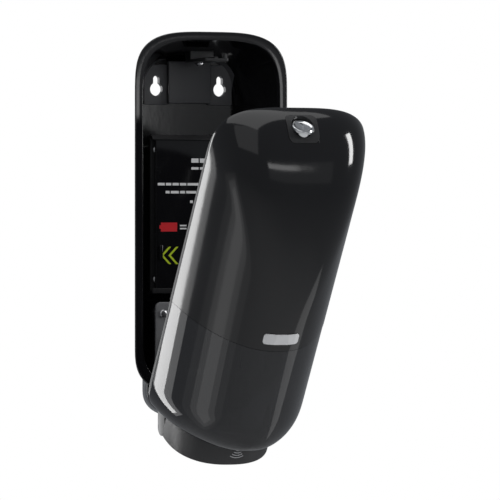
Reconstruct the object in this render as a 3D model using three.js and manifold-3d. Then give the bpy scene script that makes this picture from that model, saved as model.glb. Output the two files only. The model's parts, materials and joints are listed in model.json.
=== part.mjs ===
// A wall mounted soap dispenser with its cover hanging open: a tray-shaped rear housing that
// hangs on two keyholes, a glossy cover with a smoked window, a battery box and a geared pump drive.
// Millimetres, +Z up, the room towards -Y and the wall at Y = 0.
import * as THREE from 'three';
import { mergeVertices } from 'three/addons/utils/BufferGeometryUtils.js';
import Module from 'manifold-3d';

const wasm = await Module();
wasm.setup();

// ---- driving dimensions ----
const WIDTH = 116;
const HEIGHT = 278;
const RIM_DEPTH = 48;
const COVER_DEPTH = 66;
const BODY_BOTTOM = 22;
const ORIGIN_HEIGHT = 140;
const GAP = 0.4;
const TRAY_WALL = 2.5;
const COVER_WALL = 2.2;
const OPEN_ANGLE = THREE.MathUtils.degToRad(33);
const HINGE = { forward: 27, height: 0, pin: 2.2, knuckle: 6 };

// The outline of the body in front view: rounded ends are quarters of a superellipse.
const TOP_ROUND = { height: 45, power: 3.5 };
const BOTTOM_ROUND = { height: 34, power: 3 };
// The tray narrows from the rim to the wall; the cover closes in towards its front.
const TRAY_BACK = { narrowing: 22, drop: 16, rise: 4, power: 1.15 };
const COVER_SIDE = { power: 2.3, taper: 0.26 };
const COVER_TOP = { drop: 140, power: 2 };
const COVER_BOTTOM = { rise: 22, power: 2 };
const WINDOW_TOP = 122;

const RIM_FLANGE = { width: 6, depth: 3 };
const LIP = {
  inset: 4.9, thickness: 1.8, proud: 8.5, side: WIDTH / 2 - 13, low: 31, high: HEIGHT - 16,
  notchLow: 118, notchHigh: 128,
};
const KEYHOLE = {
  spread: 24.3, head: 4.75, headHeight: HEIGHT - 39.5, slot: 2.4, slotHeight: HEIGHT - 32.3,
};
const KEY_PLATE = { halfWidth: 9.5, low: HEIGHT - 50.5, high: HEIGHT - 22, thickness: 1.5 };
const PAD = { halfWidth: 16.2, low: HEIGHT - 49.5, high: HEIGHT - 19.5, thickness: 5 };
const NECK = {
  halfWidth: 41, backHalfWidth: 33.5, bottom: 5.5, round: 20.5, top: 60, forward: 28, power: 2.5,
};
const HINGE_BLOCK = { halfWidth: 30, round: 6.5, top: 13 };
const ARM = { inner: 21, outer: 25, top: 13.2, bottom: 8.7, slack: 0.6 };

const COLLAR = { halfWidth: 38.5, reach: 38, bottom: 7.5, top: 33, wall: 2.2, power: 2.4 };
const STRIKER = {
  halfWidth: 9, forward: RIM_DEPTH + 10, back: RIM_DEPTH - 28, bar: HEIGHT - 21, barThickness: 2,
  blockDepth: 10, blockTop: HEIGHT - 12.6,
};
const CATCH_POST = { side: 5.2, width: 2, depth: 2, top: HEIGHT - 15.4 };
const LOCK = {
  forward: RIM_DEPTH + 18, insertHalf: 11.5, insertDepth: 9, insertBottom: HEIGHT - 14.8,
  barrel: 6.2, proud: 1.4,
};
const BADGE = { halfWidth: 13, low: 128, high: 136 };
const CAM = { halfWidth: 4, inner: 12.6, reach: 16, hook: 9.5, thickness: 1.8, top: HEIGHT - 15.6 };

const CELL = { radius: 13.1, length: 49, nub: 2.8, nubHeight: 1.2 };
const BATTERY_BOX = { back: 5, wall: 2, low: 94, high: 205.5, flange: 11.4, flangeThickness: 3 };
const CONTACT = { spring: 4.6, wire: 0.5, springRadius: 4.5, turns: 2.5, plate: 0.8 };
const cellSpread = CELL.radius + GAP + 0.6;
const boxHalfWidth = cellSpread + CELL.radius + GAP + BATTERY_BOX.wall;
const BOX_SCREW = {
  x: boxHalfWidth + 6.4, heights: [104, 195], shank: 1.3, head: 2.6, headThickness: 1.5, length: 9,
  boss: 3.8,
};
const DOOR = { halfWidth: boxHalfWidth + 8.4, thickness: 2.4 };
const flangeHalfWidth = boxHalfWidth + BATTERY_BOX.flange;
const RAIL = { overlap: 1.6, thickness: 1.2 };

const DRIVE = { halfWidth: 30, back: 9, front: RIM_DEPTH - 4, low: 35.5, high: 88, wall: 2, ear: 4 };
const FRONT_PLATE = { halfWidth: 42, low: 36, thickness: 3.2 };
const NOZZLE = {
  forward: RIM_DEPTH + 20, guide: 15, bore: 10, bottom: 14, top: 30, lug: 5, lugOuter: 27, lugTop: 50,
};
const EYE = { side: 8.6, radius: 2.5, above: 3.4, length: 5.6, forward: 6.5 };
const SENSOR_WINDOW = { halfWidth: 12, back: 3.6, front: 9.2, thickness: 1.3 };
const CRADLE = { halfWidth: 27, slot: 15, low: 56, thickness: 4, front: RIM_DEPTH + 42 };
const YOKE = { halfWidth: 21, hole: 14.5, low: 38, thickness: 4, stroke: 8 };

// Gear train, all axes along X: motor pinion, reduction gear, output gear, rack on the yoke.
const GEARS = {
  fine: 0.6, coarse: 0.8, rack: 1,
  motorTeeth: 10, reductionTeeth: 30, reductionPinionTeeth: 12, outputTeeth: 30, outputPinionTeeth: 14,
  axle: 1.5, bore: 1.85,
};
const OUTPUT_AXIS = { forward: 26, height: 51 };
const REDUCTION_LEAN = THREE.MathUtils.degToRad(12);
const MOTOR_LEAN = THREE.MathUtils.degToRad(45);
const MOTOR = { radius: 7.6, length: 20, shaft: 1 };
const RACK = { low: 40, high: 66, width: 6, back: 4 };

// ---- shape helpers ----
function solid(geometry) {
  const plain = geometry.clone();
  plain.deleteAttribute('normal');
  plain.deleteAttribute('uv');
  const merged = mergeVertices(plain, 1e-4);
  return new wasm.Manifold(new wasm.Mesh({
    numProp: 3,
    vertProperties: Float32Array.from(merged.attributes.position.array),
    triVerts: Uint32Array.from(merged.index.array),
  }));
}

function geometryOf(body) {
  const mesh = body.getMesh();
  const geometry = new THREE.BufferGeometry();
  geometry.setAttribute('position', new THREE.BufferAttribute(mesh.vertProperties, 3));
  geometry.setIndex(new THREE.BufferAttribute(mesh.triVerts, 1));
  geometry.computeVertexNormals();
  return geometry;
}

// A box between two corners given as [low, high] along each axis.
function block(x, y, z) {
  const geometry = new THREE.BoxGeometry(x[1] - x[0], y[1] - y[0], z[1] - z[0]);
  geometry.translate((x[0] + x[1]) / 2, (y[0] + y[1]) / 2, (z[0] + z[1]) / 2);
  return solid(geometry);
}

const PLAIN = { bevelEnabled: false, curveSegments: 10, steps: 1 };

// A front-view outline (x, z) extruded from `start` mm before the wall, `depth` mm into the room.
function extrudeForward(shape, start, depth) {
  const geometry = new THREE.ExtrudeGeometry(shape, { ...PLAIN, depth });
  geometry.rotateX(Math.PI / 2);
  geometry.translate(0, -start, 0);
  return solid(geometry);
}

// A side-view outline (y, z) extruded along X from `start`.
function extrudeAcross(shape, start, width) {
  const geometry = new THREE.ExtrudeGeometry(shape, { ...PLAIN, depth: width });
  geometry.rotateX(Math.PI / 2);
  geometry.rotateZ(Math.PI / 2);
  geometry.translate(start, 0, 0);
  return solid(geometry);
}

// A plan outline (x, y) extruded upwards from `start`.
function extrudeUp(shape, start, height) {
  const geometry = new THREE.ExtrudeGeometry(shape, { ...PLAIN, depth: height });
  geometry.translate(0, 0, start);
  return solid(geometry);
}

function rodAlongX(radius, from, to, y, z, sides = 20) {
  const geometry = new THREE.CylinderGeometry(radius, radius, to - from, sides);
  geometry.rotateZ(Math.PI / 2);
  geometry.translate((from + to) / 2, y, z);
  return solid(geometry);
}

function rodAlongY(radius, from, to, x, z, sides = 20) {
  const geometry = new THREE.CylinderGeometry(radius, radius, to - from, sides);
  geometry.translate(x, (from + to) / 2, z);
  return solid(geometry);
}

function rodAlongZ(radius, from, to, x, y, sides = 24) {
  const geometry = new THREE.CylinderGeometry(radius, radius, to - from, sides);
  geometry.rotateX(Math.PI / 2);
  geometry.translate(x, y, (from + to) / 2);
  return solid(geometry);
}

function circleShape(x, y, radius) {
  const shape = new THREE.Shape();
  shape.absarc(x, y, radius, 0, 2 * Math.PI, false);
  return shape;
}

function roundedRectangle(x, y, radius) {
  const shape = new THREE.Shape();
  shape.moveTo(x[0] + radius, y[0]);
  shape.lineTo(x[1] - radius, y[0]);
  shape.absarc(x[1] - radius, y[0] + radius, radius, -Math.PI / 2, 0, false);
  shape.lineTo(x[1], y[1] - radius);
  shape.absarc(x[1] - radius, y[1] - radius, radius, 0, Math.PI / 2, false);
  shape.lineTo(x[0] + radius, y[1]);
  shape.absarc(x[0] + radius, y[1] - radius, radius, Math.PI / 2, Math.PI, false);
  shape.lineTo(x[0], y[0] + radius);
  shape.absarc(x[0] + radius, y[0] + radius, radius, Math.PI, 1.5 * Math.PI, false);
  return shape;
}

// One quarter of a superellipse, as unit steps from (1, 0) to (0, 1).
function quarter(power, steps) {
  const points = [];
  for (let i = 0; i <= steps; i += 1) {
    const angle = (i / steps) * (Math.PI / 2);
    const across = Math.max(Math.cos(angle), 0) ** (2 / power);
    const along = Math.sin(angle) ** (2 / power);
    points.push([i === steps ? 0 : across, i === 0 ? 0 : along]);
  }
  return points;
}

const QUARTER_STEPS = 9;

// The body's front-view ring at depth y: rounded top, straight sides, rounded bottom.
function bodyRing(halfWidth, top, bottom, y) {
  const topQuarter = quarter(TOP_ROUND.power, QUARTER_STEPS);
  const bottomQuarter = quarter(BOTTOM_ROUND.power, QUARTER_STEPS);
  const shoulder = top - TOP_ROUND.height;
  const foot = bottom + BOTTOM_ROUND.height;
  const ring = [];
  for (const [u, v] of topQuarter) ring.push([u * halfWidth, shoulder + v * TOP_ROUND.height]);
  for (const [u, v] of topQuarter.slice(0, -1).reverse()) {
    ring.push([-u * halfWidth, shoulder + v * TOP_ROUND.height]);
  }
  for (const [u, v] of bottomQuarter) ring.push([-u * halfWidth, foot - v * BOTTOM_ROUND.height]);
  for (const [u, v] of bottomQuarter.slice(0, -1).reverse()) {
    ring.push([u * halfWidth, foot - v * BOTTOM_ROUND.height]);
  }
  return ring.map(([x, z]) => new THREE.Vector3(x, y, z));
}

// A closed body through rings of equal point counts, ordered from front to back.
function loft(rings) {
  const count = rings[0].length;
  const points = rings.flat();
  const faces = [];
  for (let r = 0; r + 1 < rings.length; r += 1) {
    for (let i = 0; i < count; i += 1) {
      const next = (i + 1) % count;
      const a = r * count + i;
      const b = r * count + next;
      faces.push(a, a + count, b, b, a + count, b + count);
    }
  }
  for (const [ring, start] of [[0, 0], [rings.length - 1, (rings.length - 1) * count]]) {
    const centre = rings[ring].reduce((sum, p) => sum.add(p), new THREE.Vector3()).divideScalar(count);
    const hub = points.push(centre) - 1;
    for (let i = 0; i < count; i += 1) {
      const next = (i + 1) % count;
      if (ring === 0) faces.push(hub, start + i, start + next);
      else faces.push(hub, start + next, start + i);
    }
  }
  const geometry = new THREE.BufferGeometry();
  geometry.setAttribute('position', new THREE.BufferAttribute(
    Float32Array.from(points.flatMap((p) => [p.x, p.y, p.z])), 3));
  geometry.setIndex(faces);
  return solid(geometry);
}

// ---- materials ----
const finish = (color, roughness, metalness = 0) => ({ color, roughness, metalness });
const GLOSS_BLACK = finish(0x1b1c1e, 0.12);
const SATIN_BLACK = finish(0x222326, 0.45);
const SMOKE = finish(0x2a2b2e, 0.08);
const GREY_PLASTIC = finish(0x4b4d50, 0.4);
const STEEL = finish(0xb8babd, 0.3, 1);
const CHROME = finish(0xd8dadd, 0.08, 1);
const WHITE_GEAR = finish(0xe6e4dc, 0.5);
const BADGE_WHITE = finish(0xf2f2f2, 0.4);
const GREEN_BOARD = finish(0x1d5a35, 0.5);
const CELL_WRAP = finish(0x2d2f33, 0.35, 0.3);
const INFRARED = finish(0x2b1020, 0.1);

function piece(name, body, { color, roughness, metalness }) {
  const material = new THREE.MeshStandardMaterial({ color, roughness, metalness });
  const mesh = new THREE.Mesh(geometryOf(body), material);
  mesh.name = name;
  return mesh;
}

const model = new THREE.Group();
model.position.z = -ORIGIN_HEIGHT;

// Depths, measured forward from the wall, that the housing and the battery box share.
const cellForward = BATTERY_BOX.back + BATTERY_BOX.wall + CELL.radius + GAP;
const boxFront = cellForward + CELL.radius + GAP;
const doorBack = boxFront + GAP;
const doorFront = doorBack + DOOR.thickness;
const railFront = doorFront + GAP + RAIL.thickness;
const bossFront = boxFront - BATTERY_BOX.flangeThickness - GAP;
const boxScrewSpots = BOX_SCREW.heights.flatMap((z) => [[-BOX_SCREW.x, z], [BOX_SCREW.x, z]]);

function addTo(group, name, body, look) {
  group.add(piece(name, body, look));
}

// ---- rear housing: a deep tray that narrows towards the wall ----
function trayRing(share, inset) {
  const bend = share ** TRAY_BACK.power;
  return bodyRing(
    WIDTH / 2 - inset - TRAY_BACK.narrowing * bend,
    HEIGHT - inset - TRAY_BACK.drop * bend,
    BODY_BOTTOM + inset + TRAY_BACK.rise * bend,
    -RIM_DEPTH * (1 - share),
  );
}

function trayInside() {
  const flangeShare = RIM_FLANGE.depth / RIM_DEPTH;
  const floorShare = 1 - TRAY_WALL / RIM_DEPTH;
  const front = trayRing(0, RIM_FLANGE.width).map((p) => p.clone().setY(-RIM_DEPTH - 1));
  const shares = [0.1, 0.25, 0.4, 0.55, 0.7, 0.82, floorShare];
  const rings = [front, trayRing(flangeShare, RIM_FLANGE.width)];
  for (const share of shares) rings.push(trayRing(share, TRAY_WALL));
  return loft(rings);
}

function neckRing(halfWidth, y) {
  const round = quarter(NECK.power, 7);
  const start = NECK.bottom + NECK.round;
  const ring = [[halfWidth, NECK.top], [-halfWidth, NECK.top]];
  for (const [u, v] of round) ring.push([-u * halfWidth, start - v * NECK.round]);
  for (const [u, v] of round.slice(0, -1).reverse()) ring.push([u * halfWidth, start - v * NECK.round]);
  return ring.map(([x, z]) => new THREE.Vector3(x, y, z));
}

// The neck narrows towards the wall like the tray above it.
const neckSolid = () => loft([neckRing(NECK.halfWidth, -NECK.forward), neckRing(NECK.backHalfWidth, 0)]);

// The barrel below the neck that carries the two hinge pins.
function hingeBlock() {
  const width = [-HINGE_BLOCK.halfWidth, HINGE_BLOCK.halfWidth];
  return rodAlongX(HINGE_BLOCK.round, ...width, -HINGE.forward, HINGE.height, 28)
    .add(block(width, [-HINGE.forward - HINGE_BLOCK.round, -HINGE.forward + HINGE_BLOCK.round],
      [HINGE.height, HINGE_BLOCK.top]));
}

// Thin lips that follow the rim down both sides and stand out of it into the cover.
function sideLips() {
  const rim = (inset, y) => trayRing(0, inset).map((p) => p.clone().setY(y));
  const tip = -RIM_DEPTH - LIP.proud;
  const root = -RIM_DEPTH + RIM_FLANGE.depth / 2;
  const band = loft([rim(LIP.inset, tip), rim(LIP.inset, root)])
    .subtract(loft([rim(LIP.inset + LIP.thickness, tip - 1), rim(LIP.inset + LIP.thickness, root + 1)]));
  const reach = [LIP.side, WIDTH / 2];
  let lips = null;
  for (const x of [reach, reach.map((v) => -v).reverse()]) {
    for (const z of [[LIP.low, LIP.notchLow], [LIP.notchHigh, LIP.high]]) {
      const length = band.intersect(block(x, [tip - 1, root + 1], z));
      lips = lips ? lips.add(length) : length;
    }
  }
  return lips;
}

function keyholeCutter(side) {
  const x = side * KEYHOLE.spread;
  const depth = KEY_PLATE.thickness + TRAY_WALL + 2;
  const head = rodAlongY(KEYHOLE.head, -depth, 1, x, KEYHOLE.headHeight, 28);
  const end = rodAlongY(KEYHOLE.slot, -depth, 1, x, KEYHOLE.slotHeight, 16);
  const slot = block([x - KEYHOLE.slot, x + KEYHOLE.slot], [-depth, 1],
    [KEYHOLE.headHeight, KEYHOLE.slotHeight]);
  return head.add(end).add(slot);
}

function rearHousing() {
  const shares = [0, 0.15, 0.3, 0.45, 0.6, 0.73, 0.85, 0.93, 1];
  const outside = loft(shares.map((share) => trayRing(share, 0)));
  let body = outside.add(neckSolid()).add(hingeBlock()).subtract(trayInside()).add(sideLips());
  for (const side of [-1, 1]) {
    const x = side * KEYHOLE.spread;
    const plate = block([x - KEY_PLATE.halfWidth, x + KEY_PLATE.halfWidth],
      [-TRAY_WALL - KEY_PLATE.thickness, -TRAY_WALL / 2], [KEY_PLATE.low, KEY_PLATE.high]);
    body = body.add(plate.intersect(outside));
    body = body.subtract(keyholeCutter(side));
    const arm = [ARM.inner - ARM.slack, ARM.outer + ARM.slack].map((v) => side * v).sort((a, b) => a - b);
    body = body.subtract(block(arm, [-RIM_DEPTH - 1, -HINGE.forward + HINGE.knuckle + 1.5],
      [-HINGE_BLOCK.round - 1, BODY_BOTTOM - 1]));
    const pin = [side * (ARM.inner - 5), side * (ARM.outer + 4)].sort((a, b) => a - b);
    body = body.subtract(rodAlongX(HINGE.pin + 0.35, pin[0], pin[1], -HINGE.forward, HINGE.height));
  }
  for (const [x, z] of boxScrewSpots) {
    body = body.add(rodAlongY(BOX_SCREW.boss, -bossFront, -TRAY_WALL / 2, x, z).intersect(outside));
    body = body.subtract(rodAlongY(BOX_SCREW.shank + 0.35, -bossFront - 1, -bossFront + BOX_SCREW.length,
      x, z, 16));
  }
  body = body.add(block([-PAD.halfWidth, PAD.halfWidth], [-TRAY_WALL - PAD.thickness, -TRAY_WALL / 2],
    [PAD.low, PAD.high]));
  return body;
}

addTo(model, 'rear_housing', rearHousing(), GLOSS_BLACK);

for (const [label, side] of [['left', -1], ['right', 1]]) {
  const ends = [side * (ARM.inner - 4.6), side * (ARM.outer + 3.6)].sort((a, b) => a - b);
  addTo(model, `hinge_pin_${label}`,
    rodAlongX(HINGE.pin, ends[0], ends[1], -HINGE.forward, HINGE.height), STEEL);
}

// ---- latch striker under the ceiling: a bar with an upright post that the lock's hook passes behind ----
function latchStriker() {
  const bar = block([-STRIKER.halfWidth, STRIKER.halfWidth], [-STRIKER.forward, -STRIKER.back],
    [STRIKER.bar, STRIKER.bar + STRIKER.barThickness]);
  const heel = block([-STRIKER.halfWidth, STRIKER.halfWidth],
    [-STRIKER.back - STRIKER.blockDepth, -STRIKER.back], [STRIKER.bar, STRIKER.blockTop]);
  const post = block([CATCH_POST.side, CATCH_POST.side + CATCH_POST.width],
    [-STRIKER.forward, -STRIKER.forward + CATCH_POST.depth], [STRIKER.bar, CATCH_POST.top]);
  const bore = rodAlongZ(1.9, STRIKER.bar - 1, STRIKER.blockTop + 1, 0, -STRIKER.back - 5, 16);
  return bar.add(heel).add(post).subtract(bore);
}

addTo(model, 'latch_striker', latchStriker(), SATIN_BLACK);
addTo(model, 'striker_screw',
  rodAlongZ(1.5, STRIKER.bar - 0.35, STRIKER.blockTop - 0.2, 0, -STRIKER.back - 5, 16)
    .add(rodAlongZ(3, STRIKER.bar - 2.4, STRIKER.bar - 0.35, 0, -STRIKER.back - 5, 16)), STEEL);

// ---- battery box, its cells, contacts and sliding door ----
function batteryBox() {
  const height = [BATTERY_BOX.low, BATTERY_BOX.high];
  const inner = [BATTERY_BOX.low + BATTERY_BOX.wall, BATTERY_BOX.high - BATTERY_BOX.wall];
  const tub = block([-boxHalfWidth, boxHalfWidth], [-boxFront, -BATTERY_BOX.back], height);
  const flange = block([-flangeHalfWidth, flangeHalfWidth],
    [-boxFront, -boxFront + BATTERY_BOX.flangeThickness], height);
  const hollow = block([-boxHalfWidth + BATTERY_BOX.wall, boxHalfWidth - BATTERY_BOX.wall],
    [-boxFront - 1, -BATTERY_BOX.back - BATTERY_BOX.wall], inner);
  let body = tub.add(flange).subtract(hollow);
  for (const [edge, way] of [[BATTERY_BOX.low, 1], [BATTERY_BOX.high, -1]]) {
    const web = [edge, edge + way * BATTERY_BOX.wall].sort((a, b) => a - b);
    const hook = [edge, edge + way * (BATTERY_BOX.wall + RAIL.overlap)].sort((a, b) => a - b);
    const width = [-flangeHalfWidth, flangeHalfWidth];
    body = body.add(block(width, [-railFront, -boxFront + 1], web));
    body = body.add(block(width, [-railFront, -railFront + RAIL.thickness], hook));
  }
  for (const [x, z] of boxScrewSpots) {
    body = body.subtract(rodAlongY(BOX_SCREW.shank + 0.35, -boxFront - 1, -bossFront + 1, x, z, 16));
    body = body.subtract(rodAlongY(BOX_SCREW.head + 0.4, -boxFront - 1,
      -boxFront + BOX_SCREW.headThickness + 0.5, x, z, 20));
  }
  return body;
}

function batteryDoor() {
  const clear = BATTERY_BOX.wall + GAP;
  const door = extrudeForward(
    roundedRectangle([-DOOR.halfWidth, DOOR.halfWidth],
      [BATTERY_BOX.low + clear, BATTERY_BOX.high - clear], 2),
    doorBack, DOOR.thickness);
  const grip = block([-DOOR.halfWidth + 3, -DOOR.halfWidth + 5],
    [-doorFront - 1.4, -doorBack - 1], [LIP.notchLow, LIP.notchHigh]);
  return door.add(grip);
}

addTo(model, 'battery_box', batteryBox(), SATIN_BLACK);
addTo(model, 'battery_door', batteryDoor(), GLOSS_BLACK);

boxScrewSpots.forEach(([x, z], i) => {
  const underHead = -boxFront + BOX_SCREW.headThickness + 0.2;
  const shank = rodAlongY(BOX_SCREW.shank, underHead - 0.1, underHead + BOX_SCREW.length - 2, x, z, 12);
  const head = rodAlongY(BOX_SCREW.head, underHead - BOX_SCREW.headThickness, underHead, x, z, 16);
  addTo(model, `battery_box_screw_${i + 1}`, shank.add(head), STEEL);
});

const cellFloor = BATTERY_BOX.low + BATTERY_BOX.wall + CONTACT.spring;
for (let i = 0; i < 4; i += 1) {
  const x = (i % 2 === 0 ? -1 : 1) * cellSpread;
  const low = cellFloor + Math.floor(i / 2) * (CELL.length + CELL.nubHeight + GAP);
  addTo(model, `battery_${i + 1}`,
    rodAlongZ(CELL.radius, low, low + CELL.length - CELL.nubHeight, x, -cellForward, 28)
      .add(rodAlongZ(CELL.nub, low + CELL.length - CELL.nubHeight - 0.5, low + CELL.length, x,
        -cellForward, 16)), CELL_WRAP);
}

// A flat coil spring under each column of cells.
function contactSpring(x) {
  const low = BATTERY_BOX.low + BATTERY_BOX.wall + CONTACT.wire + 0.3;
  const rise = CONTACT.spring - 2 * CONTACT.wire - 0.6;
  const turn = [];
  for (let i = 0; i <= 20; i += 1) {
    const angle = (i / 20) * CONTACT.turns * 2 * Math.PI;
    const radius = CONTACT.springRadius * (1 - 0.35 * (i / 20));
    turn.push(new THREE.Vector3(x + radius * Math.cos(angle), -cellForward + radius * Math.sin(angle),
      low + rise * (i / 20)));
  }
  const geometry = new THREE.ExtrudeGeometry(circleShape(0, 0, CONTACT.wire), {
    steps: 40, curveSegments: 3, bevelEnabled: false, extrudePath: new THREE.CatmullRomCurve3(turn),
  });
  return solid(geometry);
}

function contactBridge() {
  const low = cellFloor + 2 * CELL.length + CELL.nubHeight + 2 * GAP;
  const plate = block([-cellSpread - 6, cellSpread + 6], [-cellForward - 5, -cellForward + 5],
    [low, low + CONTACT.plate]);
  const tab = block([-3, 3], [-cellForward - 5, -cellForward + 5],
    [low, BATTERY_BOX.high - BATTERY_BOX.wall - 0.3]);
  return plate.add(tab);
}

addTo(model, 'contact_spring_left', contactSpring(-cellSpread), STEEL);
addTo(model, 'contact_spring_right', contactSpring(cellSpread), STEEL);
addTo(model, 'contact_bridge', contactBridge(), STEEL);

// ---- pump drive: case, front plate, motor, gears, rack and yoke ----
// A spur gear centred on the origin with its axis along X, from `from` to `from + width`.
function spurGear(gearModule, teeth, from, width, turn = 0) {
  const pitch = (gearModule * teeth) / 2;
  const tip = pitch + 0.8 * gearModule;
  const root = pitch - 1.15 * gearModule;
  const step = (2 * Math.PI) / teeth;
  const shape = new THREE.Shape();
  for (let i = 0; i < teeth; i += 1) {
    const middle = i * step + turn;
    const corners = [[root, -0.3], [tip, -0.11], [tip, 0.11], [root, 0.3]];
    for (const [radius, share] of corners) {
      const angle = middle + share * step;
      const point = [radius * Math.cos(angle), radius * Math.sin(angle)];
      if (i === 0 && share === -0.3) shape.moveTo(...point);
      else shape.lineTo(...point);
    }
  }
  shape.closePath();
  return extrudeAcross(shape, from, width);
}

const along = (origin, distance, angle) => ({
  forward: origin.forward - distance * Math.sin(angle),
  height: origin.height + distance * Math.cos(angle),
});
const reductionDistance = (GEARS.coarse * (GEARS.outputTeeth + GEARS.reductionPinionTeeth)) / 2;
const motorDistance = (GEARS.fine * (GEARS.reductionTeeth + GEARS.motorTeeth)) / 2;
const REDUCTION_AXIS = along(OUTPUT_AXIS, reductionDistance, REDUCTION_LEAN);
const MOTOR_AXIS = along(REDUCTION_AXIS, motorDistance, -MOTOR_LEAN);
const place = (body, axis) => body.translate([0, -axis.forward, axis.height]);

// Tooth phases: a gear points a tooth along the line of centres where its mate has a gap.
function meshPhase(angleOfMate, teeth, toothOnLine) {
  const step = (2 * Math.PI) / teeth;
  return angleOfMate + (toothOnLine ? 0 : step / 2);
}
// Angles in the (y, z) plane from one axis to the next.
const towards = (from, to) => Math.atan2(to.height - from.height, from.forward - to.forward);
const outputToReduction = towards(OUTPUT_AXIS, REDUCTION_AXIS);
const reductionToMotor = towards(REDUCTION_AXIS, MOTOR_AXIS);

const gearX = { reduction: -5, coarse: -1.6, coarseWidth: 5, rack: 6, fineWidth: 3 };

function outputGear() {
  const big = spurGear(GEARS.coarse, GEARS.outputTeeth, gearX.coarse, gearX.coarseWidth,
    meshPhase(outputToReduction, GEARS.outputTeeth, true));
  const small = spurGear(GEARS.rack, GEARS.outputPinionTeeth, gearX.coarse + gearX.coarseWidth - 0.5,
    RACK.width + 3, meshPhase(Math.PI, GEARS.outputPinionTeeth, true));
  const bore = rodAlongX(GEARS.bore, -20, 20, 0, 0, 16);
  return place(big.add(small).subtract(bore), OUTPUT_AXIS);
}

function reductionGear() {
  const big = spurGear(GEARS.fine, GEARS.reductionTeeth, gearX.reduction, gearX.fineWidth,
    meshPhase(reductionToMotor, GEARS.reductionTeeth, true));
  const small = spurGear(GEARS.coarse, GEARS.reductionPinionTeeth,
    gearX.reduction + gearX.fineWidth - 0.5, gearX.coarseWidth + 1,
    meshPhase(outputToReduction + Math.PI, GEARS.reductionPinionTeeth, false));
  const bore = rodAlongX(GEARS.bore, -20, 20, 0, 0, 16);
  return place(big.add(small).subtract(bore), REDUCTION_AXIS);
}

function motorPinion() {
  const teeth = spurGear(GEARS.fine, GEARS.motorTeeth, gearX.reduction - 0.8, gearX.fineWidth + 1.6,
    meshPhase(reductionToMotor + Math.PI, GEARS.motorTeeth, false));
  return place(teeth.subtract(rodAlongX(MOTOR.shaft + 0.35, -20, 20, 0, 0, 14)), MOTOR_AXIS);
}

const motorRight = gearX.reduction - 0.8 - 1.6;
function motor() {
  const can = rodAlongX(MOTOR.radius, motorRight - MOTOR.length, motorRight - 0.8, 0, 0, 28);
  const boss = rodAlongX(3, motorRight - 1, motorRight, 0, 0, 20);
  const shaft = rodAlongX(MOTOR.shaft, motorRight - 1, gearX.reduction + gearX.fineWidth + 0.4, 0, 0, 14);
  return place(can.add(boss).add(shaft), MOTOR_AXIS);
}

function axle(axis) {
  const end = DRIVE.halfWidth - DRIVE.wall - 0.3;
  return place(rodAlongX(GEARS.axle, -end, end, 0, 0, 16), axis);
}

addTo(model, 'output_gear', outputGear(), WHITE_GEAR);
addTo(model, 'reduction_gear', reductionGear(), WHITE_GEAR);
addTo(model, 'motor_pinion', motorPinion(), STEEL);
addTo(model, 'pump_motor', motor(), STEEL);
addTo(model, 'output_axle', axle(OUTPUT_AXIS), STEEL);
addTo(model, 'reduction_axle', axle(REDUCTION_AXIS), STEEL);

const screwSpots = [[-37, 80], [37, 80], [-37, 46], [37, 46]];

function driveCase() {
  const outer = block([-DRIVE.halfWidth, DRIVE.halfWidth], [-DRIVE.front, -DRIVE.back],
    [DRIVE.low, DRIVE.high]);
  const inner = block([-DRIVE.halfWidth + DRIVE.wall, DRIVE.halfWidth - DRIVE.wall],
    [-DRIVE.front - 1, -DRIVE.back - DRIVE.wall], [DRIVE.low + DRIVE.wall, DRIVE.high - DRIVE.wall]);
  let body = outer;
  for (const [x, z] of screwSpots) {
    const inwards = Math.sign(x) * (DRIVE.halfWidth - DRIVE.wall / 2);
    body = body.add(rodAlongY(DRIVE.ear, -DRIVE.front, -DRIVE.front + 8, x, z));
    body = body.add(block([x, inwards].sort((a, b) => a - b), [-DRIVE.front, -DRIVE.front + 8],
      [z - DRIVE.ear, z + DRIVE.ear]));
  }
  body = body.subtract(inner);
  for (const [x, z] of screwSpots) {
    body = body.subtract(rodAlongY(1.7, -DRIVE.front - 1, -DRIVE.front + 6, x, z, 16));
  }
  return body;
}

const plateBack = DRIVE.front + GAP;
const plateFront = plateBack + FRONT_PLATE.thickness;
const rackWindow = {
  x: [gearX.rack - 1, gearX.rack + RACK.width + 1],
  z: [YOKE.low - 1, YOKE.low + YOKE.thickness + YOKE.stroke + 1],
};

function driveCover() {
  const plate = extrudeForward(
    roundedRectangle([-FRONT_PLATE.halfWidth, FRONT_PLATE.halfWidth], [FRONT_PLATE.low, DRIVE.high], 4),
    plateBack, FRONT_PLATE.thickness);
  let body = plate.subtract(block(rackWindow.x, [-plateFront - 1, -plateBack + 1], rackWindow.z));
  for (const [x, z] of screwSpots) {
    body = body.subtract(rodAlongY(1.7, -plateFront - 1, -plateBack + 1, x, z, 16));
  }
  return body;
}

addTo(model, 'drive_case', driveCase(), SATIN_BLACK);
addTo(model, 'drive_cover', driveCover(), GREY_PLASTIC);
screwSpots.forEach(([x, z], i) => {
  const shank = rodAlongY(1.3, -plateFront - 0.6, -plateBack + 4, x, z, 12);
  const head = rodAlongY(2.8, -plateFront - 1.9, -plateFront - 0.35, x, z, 16);
  addTo(model, `drive_screw_${i + 1}`, shank.add(head), STEEL);
});

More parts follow.
